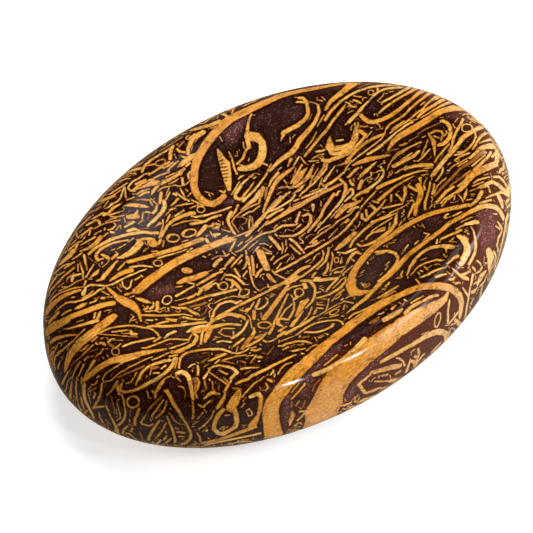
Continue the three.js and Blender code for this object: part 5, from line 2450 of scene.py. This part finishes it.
@dataclass(frozen=True)
class JasperFinish:
    """Polished jasper: warm slivers, each with a dark outline, in a near-black and maroon ground."""

    sliver_slots: int
    crack_slots: int
    length: float
    width: float
    refraction: float = 1.54
    roughness: float = 0.1
    wobble: float = 0.1
    fray: float = 0.11
    edge_start: float = -0.012
    edge_end: float = 0.025
    grains_in_mm: float = 6.5
    # How much painted shade darkens the slivers on the left end's outer wall
    painted_shade_share: float = 0.42
    painted_light_share: float = 0.7
    lit_share: float = 0.85
    cream: tuple = (0.60, 0.355, 0.105)
    honey: tuple = (0.585, 0.318, 0.075)
    ochre: tuple = (0.54, 0.250, 0.037)
    amber: tuple = (0.49, 0.188, 0.017)
    rust: tuple = (0.20, 0.064, 0.010)
    rose: tuple = (0.54, 0.270, 0.095)
    ground: tuple = (0.0095, 0.0016, 0.0007)
    open_field: tuple = (0.019, 0.0054, 0.0036)
    # The ground's painted light: lit copies of the near-black ground and the maroon, mixed in towards the
    # near right end
    lit_ground: tuple = (0.066, 0.0125, 0.0040)
    lit_maroon: tuple = (0.088, 0.0235, 0.0205)
    # The slivers' painted light: the paler colour they take on towards the near right end of the outer
    # wall
    pale: tuple = (0.70, 0.45, 0.20)
    maroon: tuple = (0.066, 0.0190, 0.0160)
    grain: tuple = (0.36, 0.200, 0.160)

    def nearest(self, w: NodeWriter, group: bpy.types.NodeTree, place: object, prefix: str,
                slots: int) -> tuple[object, object]:
        """Chains one measuring group after another.

        Args:
            w: The writer of the material.
            group: The measuring group.
            place: The position, in millimetres.
            prefix: What the stored bars are called.
            slots: How many of them a face stores.

        Returns:
            The gap to the nearest bar, and its tone.
        """
        gap, tone = 9.0, 0.4
        for n in range(slots):
            step = w.node("ShaderNodeGroup")
            step.node_tree = group
            w.join(place, step.inputs["Place"])
            for name in ("Start", "Run", "Size"):
                stored = w.node("ShaderNodeAttribute", attribute_name=f"{prefix}{n}_{name.lower()}")
                w.join(stored.outputs["Vector"], step.inputs[name])
            w.join(gap, step.inputs["Gap"])
            w.join(tone, step.inputs["Tone"])
            gap, tone = step.outputs["Gap"], step.outputs["Tone"]
        return gap, tone

    def material(self) -> bpy.types.Material:
        """Builds the material.

        Returns:
            The material.
        """
        made = bpy.data.materials.new("polished_jasper")
        made.use_nodes = True
        w = NodeWriter(made.node_tree)
        shader = made.node_tree.nodes["Principled BSDF"]
        measure = nearer_bar_group()
        coordinates = w.node("ShaderNodeTexCoord")
        place = w.vector("SCALE", coordinates.outputs["Object"], scale=1 / MM).outputs[0]
        wobble = w.noise(place, 1.7, 2.0).outputs["Color"]
        centred = w.vector("SUBTRACT", wobble, (0.5, 0.5, 0.5)).outputs[0]
        bent = w.vector("ADD", place, w.vector("SCALE", centred, scale=self.wobble).outputs[0]).outputs[0]
        gap, tone = self.nearest(w, measure, bent, "sliver", self.sliver_slots)
        crack, _ = self.nearest(w, measure, bent, "crack", self.crack_slots)
        gap = w.math("MAXIMUM", gap, w.math("MULTIPLY", crack, -1.0))
        fray = w.noise(place, 5.5, 3.0, 0.6).outputs["Fac"]
        edge = w.math("MULTIPLY_ADD", w.math("SUBTRACT", fray, 0.5), self.fray, gap)
        sliver = w.ease(edge, self.edge_start, self.edge_end, 1.0, 0.0)
        open_ground = w.node("ShaderNodeAttribute", attribute_name="open_ground").outputs["Fac"]
        speckled = w.node("ShaderNodeAttribute", attribute_name="speckled_ground").outputs["Fac"]
        warm = self.sliver_colour(w, place, tone, edge)
        dark = self.ground_colour(w, place, gap, open_ground, speckled)
        w.join(w.mix(sliver, dark, warm), shader.inputs["Base Color"])
        worn = w.ease(w.noise(place, 2.4, 3.0, 0.6).outputs["Fac"], 0.3, 0.7, 0.7, 1.8)
        w.join(w.math("MULTIPLY", worn, self.roughness), shader.inputs["Roughness"])
        shader.inputs["IOR"].default_value = self.refraction
        return made

    def outer_wall(self, w: NodeWriter, place: object) -> object:
        """Gives the share of a colour that the wall outside of the rim has alone.

        Args:
            w: The writer of the material.
            place: The position, in millimetres.

        Returns:
            The share at the position.
        """
        out = w.vector("MULTIPLY", place, (2 / self.length, 2 / self.width, 0.0)).outputs[0]
        return w.ease(w.vector("DOT_PRODUCT", out, out).outputs["Value"], 0.70, 0.88)

    def painted_light_end(self, w: NodeWriter, place: object, start: float, stop: float, share: float) -> object:
        """Gives the share of painted light that comes in on the outer wall towards the near right end,
        where the key light falls.

        Args:
            w: The writer of the material.
            place: The position, in millimetres.
            start: How far towards that end the colour sets in.
            stop: How far towards it the colour has its full share.
            share: The full share.

        Returns:
            The share at the position.
        """
        toward = w.vector("DOT_PRODUCT", place, (0.69, -0.72, 0.0)).outputs["Value"]
        return w.math("MULTIPLY", w.ease(toward, start, stop, 0.0, share), self.outer_wall(w, place))

    def sliver_colour(self, w: NodeWriter, place: object, tone: object, edge: object) -> object:
        """Colours the slivers: each has its tone, mottled, with a darker edge and small dark pits. On the
        outer wall they carry painted light and shade: paler towards the near right end, rosier low on the
        wall and on the far side as painted sheen, and darker at the left end as painted shade.

        Args:
            w: The writer of the material.
            place: The position, in millimetres.
            tone: The sliver's place on the colour ramp.
            edge: The distance from its frayed edge, below nothing inside.

        Returns:
            The colour.
        """
        drawn = w.vector("MULTIPLY", place, (0.4, 1.0, 1.0)).outputs[0]
        mottle = w.noise(drawn, 2.3, 3.0, 0.65).outputs["Fac"]
        shifted = w.math("MULTIPLY_ADD", w.math("SUBTRACT", mottle, 0.5), 0.8, tone)
        shifted = w.math("ADD", shifted, w.ease(edge, -0.10, 0.02, 0.0, 0.22))
        tones = self.cream, self.honey, self.ochre, self.amber, self.rust
        colour = w.ramp(shifted, tuple(zip((0.0, 0.14, 0.36, 0.66, 0.95), tones)))
        blush = w.ease(w.noise(place, 0.45, 2.0).outputs["Fac"], 0.42, 0.66, 0.0, 0.55)
        broad = w.ease(edge, -0.55, -0.2, 1.0, 0.0)
        colour = w.mix(w.math("MULTIPLY", blush, broad), colour, (*self.rose, 1.0))
        split = w.node("ShaderNodeSeparateXYZ")
        w.join(place, split.inputs[0])
        # Painted sheen: slivers paler and rosier low on the outer wall away from the left end, and on the
        # far side
        outer = w.ease(split.outputs[2], 4.6, 7.4, 0.6, 0.0)
        outer = w.math("MULTIPLY", outer, w.ease(split.outputs[0], -17.0, -7.0))
        outer = w.math("MAXIMUM", outer, w.ease(split.outputs[1], 5.0, 12.0, 0.0, 0.2))
        colour = w.mix(outer, colour, (*self.rose, 1.0))
        # Painted light: slivers paler on the outer wall towards the near right end, where the key light
        # falls
        colour = w.mix(self.painted_light_end(w, place, 4.0, 20.0, self.painted_light_share), colour, (*self.pale, 1.0))
        fine = w.noise(drawn, 8.0, 4.0, 0.7).outputs["Fac"]
        shade = w.ease(fine, 0.32, 0.68, 0.6, 1.22)
        streak = w.math("ABSOLUTE", w.math("SUBTRACT", w.noise(drawn, 3.2, 2.0).outputs["Fac"], 0.5))
        torn = w.ease(w.noise(place, 0.9, 2.0).outputs["Fac"], 0.46, 0.6, 1.0, 0.0)
        streak = w.math("MAXIMUM", w.ease(streak, 0.01, 0.06, 0.45, 1.0), w.math("MAXIMUM", torn, broad))
        shade = w.math("MULTIPLY", shade, streak)
        # Painted shade: slivers darker on the outer wall at the left end, turned away from the key light
        far_left = w.ease(split.outputs[0], -19.5, -14.5, self.painted_shade_share, 0.0)
        painted_shade = w.math("MULTIPLY", far_left, self.outer_wall(w, place))
        shade = w.math("MULTIPLY", shade, w.math("SUBTRACT", 1.0, painted_shade))
        rim = w.ease(edge, -0.08, 0.03, 1.0, 0.45)
        grey = w.node("ShaderNodeCombineColor")
        for socket in grey.inputs[:3]:
            w.join(w.math("MULTIPLY", shade, rim), socket)
        return w.mix(1.0, colour, grey.outputs[0], "MULTIPLY")

    def ground_colour(self, w: NodeWriter, place: object, gap: object, open_ground: object,
                      speckled: object) -> object:
        """Colours the ground: near black by the slivers, maroon in the open, with fine pale grains, and
        painted light on the outer wall towards the near right end, where a lit copy of the ground is mixed
        in.

        Args:
            w: The writer of the material.
            place: The position, in millimetres.
            gap: The distance from the nearest sliver.
            open_ground: How far inside of a bare field the position lies.
            speckled: How far inside of a speckled field it lies.

        Returns:
            The colour.
        """
        away = w.math("MULTIPLY", speckled, w.ease(gap, 0.03, 0.14))
        away = w.math("MAXIMUM", away, w.ease(gap, 0.10, 0.42))
        patch = w.ease(w.noise(place, 0.3, 2.0).outputs["Fac"], 0.42, 0.6, 0.05, 0.6)
        red = w.math("MULTIPLY", away, w.math("MAXIMUM", patch, open_ground))
        cloud = w.ease(w.noise(place, 0.35, 3.0).outputs["Fac"], 0.5, 0.7, 0.0, 0.45)
        cloud = w.math("MAXIMUM", cloud, speckled)
        open_colour = w.mix(cloud, (*self.open_field, 1.0), (*self.maroon, 1.0))
        dark = w.mix(red, (*self.ground, 1.0), open_colour)
        # Painted light: a lit copy of the ground on the outer wall towards the near right end
        lit = w.mix(w.math("MULTIPLY", red, cloud), (*self.lit_ground, 1.0), (*self.lit_maroon, 1.0))
        dark = w.mix(self.painted_light_end(w, place, -7.0, 11.0, self.lit_share), dark, lit)
        grains = w.node("ShaderNodeTexVoronoi")
        w.join(place, grains.inputs["Vector"])
        grains.inputs["Scale"].default_value = self.grains_in_mm
        chance = w.node("ShaderNodeSeparateColor")
        w.join(grains.outputs["Color"], chance.inputs[0])
        grit = w.ease(grains.outputs["Distance"], 0.16, 0.42, 1.0, 0.0)
        likely = w.math("MULTIPLY_ADD", speckled, 0.28, chance.outputs[0])
        grit = w.math("MULTIPLY", grit, w.ease(likely, 0.45, 0.95))
        grit = w.math("MULTIPLY", grit, w.math("MULTIPLY", red, w.math("MULTIPLY_ADD", cloud, 0.75, 0.25)))
        dark = w.mix(grit, dark, (*self.grain, 1.0))
        vein = w.noise(place, 1.5, 1.0).outputs["Fac"]
        vein = w.ease(w.math("ABSOLUTE", w.math("SUBTRACT", vein, 0.5)), 0.004, 0.018, 1.0, 0.0)
        torn = w.ease(w.noise(place, 2.6, 2.0).outputs["Fac"], 0.5, 0.58)
        speck = w.ease(w.noise(place, 6.0, 2.0, 0.7).outputs["Fac"], 0.63, 0.68)
        crumb = w.math("MAXIMUM", w.math("MULTIPLY", vein, torn), speck)
        closed = w.math("SUBTRACT", 1.0, open_ground)
        crumb = w.math("MULTIPLY", crumb, w.math("MULTIPLY", w.ease(gap, 0.04, 0.1, 0.0, 0.55), closed))
        return w.mix(crumb, dark, (*self.rust, 1.0))


@dataclass
class WorryStone:
    """The whole stone: its fine surface, its markings and its finish."""

    form: StoneForm
    studio: Studio
    tone_sway: float = 0.07
    chart: StoneChart = field(init=False)
    surface: PolishedStone = field(init=False)
    slivers: Bars = field(default_factory=Bars)
    cracks: Bars = field(default_factory=Bars)
    open_ground: Bars = field(default_factory=Bars)
    speckled_ground: Bars = field(default_factory=Bars)

    def __post_init__(self) -> None:
        """Works out the charts."""
        self.chart = StoneChart(self.form)
        self.surface = PolishedStone(self.chart)

    def smooth(self, pixels: np.ndarray, closed: bool) -> np.ndarray:
        """Rounds a trail of pixels with a smooth curve through its points.

        Args:
            pixels: Rows of (x, y).
            closed: Whether the trail comes back to its start.

        Returns:
            Rows of (x, y) along the curve.
        """
        n = len(pixels)
        out = []
        for i in range(n if closed else n - 1):
            p1, p2 = pixels[i], pixels[(i + 1) % n]
            p0 = pixels[(i - 1) % n] if closed or i else p1
            p3 = pixels[(i + 2) % n] if closed or i + 2 < n else p2
            steps = int(np.clip(np.hypot(*(p2 - p1)) / 4, 1, 6))
            for t in np.arange(steps) / steps:
                curve = 2 * p1 + (p2 - p0) * t + (2 * p0 - 5 * p1 + 4 * p2 - p3) * t**2
                out.append((curve + (3 * p1 - p0 - 3 * p2 + p3) * t**3) / 2)
        out.append(pixels[0] if closed else pixels[-1])
        return np.array(out)

    def hit(self, cam: bpy.types.Object, pixel: np.ndarray) -> np.ndarray | None:
        """Finds the point of the surface that a pixel of the photograph shows.

        Args:
            cam: The camera.
            pixel: The pixel.

        Returns:
            The point, or nothing where the pixel shows the floor.
        """
        found, spot, _, _ = self.surface.piece.ray_cast(*self.studio.ray(cam, pixel))
        return np.array(spot) / MM if found else None

    def lay(self, cam: bpy.types.Object, stroke: Stroke) -> tuple[np.ndarray, np.ndarray]:
        """Lays a marking followed in the photograph on the surface.

        Args:
            cam: The camera.
            stroke: The marking.

        Returns:
            The points on the surface and the half width at each.
        """
        pixels = self.smooth(np.array(stroke.trail, dtype=float), stroke.closed)
        heading = np.gradient(pixels, axis=0)
        heading = heading / np.maximum(np.linalg.norm(heading, axis=1), 1e-6)[:, None]
        normal = np.column_stack([-heading[:, 1], heading[:, 0]])
        t = np.linspace(0, 1, len(pixels))
        widths = (stroke.width + (stroke.end - stroke.width) * t) * width_profile(stroke.form, t)
        points, radii = [], []
        for pixel, across, width in zip(pixels, normal, widths):
            middle = self.hit(cam, pixel)
            if middle is None:
                continue
            least = width / 2 * self.studio.distance / self.studio.focal_pixels
            sides = [self.hit(cam, pixel + across * width / 2 * s) for s in (-1, 1)]
            spans = [np.linalg.norm(s - middle) for s in sides if s is not None] + [least]
            points.append(middle)
            radii.append(float(np.clip(np.mean(spans), least, 2.2 * least)))
        return np.array(points), np.array(radii)

    def trace(self, cam: bpy.types.Object, scatter: Scatter) -> None:
        """Lays all markings followed in the photograph on the surface.

        Args:
            cam: The camera.
            scatter: What fills the rest of the stone, and is told what the markings take up.
        """
        into = {Kind.SLIVER: self.slivers, Kind.CRACK: self.cracks, Kind.BARE: self.open_ground,
                Kind.SPECKLED: self.speckled_ground}
        for name, strokes in MARKINGS:
            for stroke in strokes:
                points, radii = self.lay(cam, stroke)
                if len(points) < 2:
                    log.info("a marking of %s misses the stone: %s", name, stroke.trail)
                    continue
                tone = stroke.tone.value + scatter.rng.normal(0, self.tone_sway)
                into[stroke.kind].add(points, radii, float(np.clip(tone, 0, 1)))
                scatter.mark_space(points, radii)
            log.info("%s: %d markings", name, len(strokes))

    def build(self, cam: bpy.types.Object) -> bpy.types.Object:
        """Builds and dresses the stone.

        Args:
            cam: The camera at the photograph's angle.

        Returns:
            The piece.
        """
        piece = self.surface.build()
        scatter = Scatter(self.chart, self.slivers, self.open_ground)
        self.trace(cam, scatter)
        scatter.run()
        self.surface.know(self.slivers, self.surface.sliver_slots, "sliver")
        self.surface.know(self.cracks, self.surface.crack_slots, "crack")
        self.surface.know_ground((self.open_ground, self.speckled_ground), "open_ground", 0.5)
        self.surface.know_ground((self.speckled_ground,), "speckled_ground", 0.9)
        self.surface.lay_map()
        slots = self.surface.sliver_slots, self.surface.crack_slots
        finish = JasperFinish(*slots, self.form.length, self.form.width)
        piece.data.materials.clear()
        piece.data.materials.append(finish.material())
        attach(piece, "root")
        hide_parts("stone")
        return piece


def main() -> None:
    """Builds the studio and the stone, and reports each piece."""
    logging.basicConfig(level=logging.INFO, format="%(message)s")
    low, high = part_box("stone")
    size = (high - low) / MM
    studio = Studio()
    cam = studio.camera((low + high) / 2)
    stone = WorryStone(StoneForm(length=size.x, width=size.y, height=size.z), studio)
    piece = stone.build(cam)
    log.info("stone: %d faces, %d bars", len(piece.data.polygons), len(stone.slivers.starts))
    studio.floor()
    studio.room()
    studio.light()
    bpy.context.scene.view_settings.view_transform = "Standard"


if __name__ == "__main__":
    main()
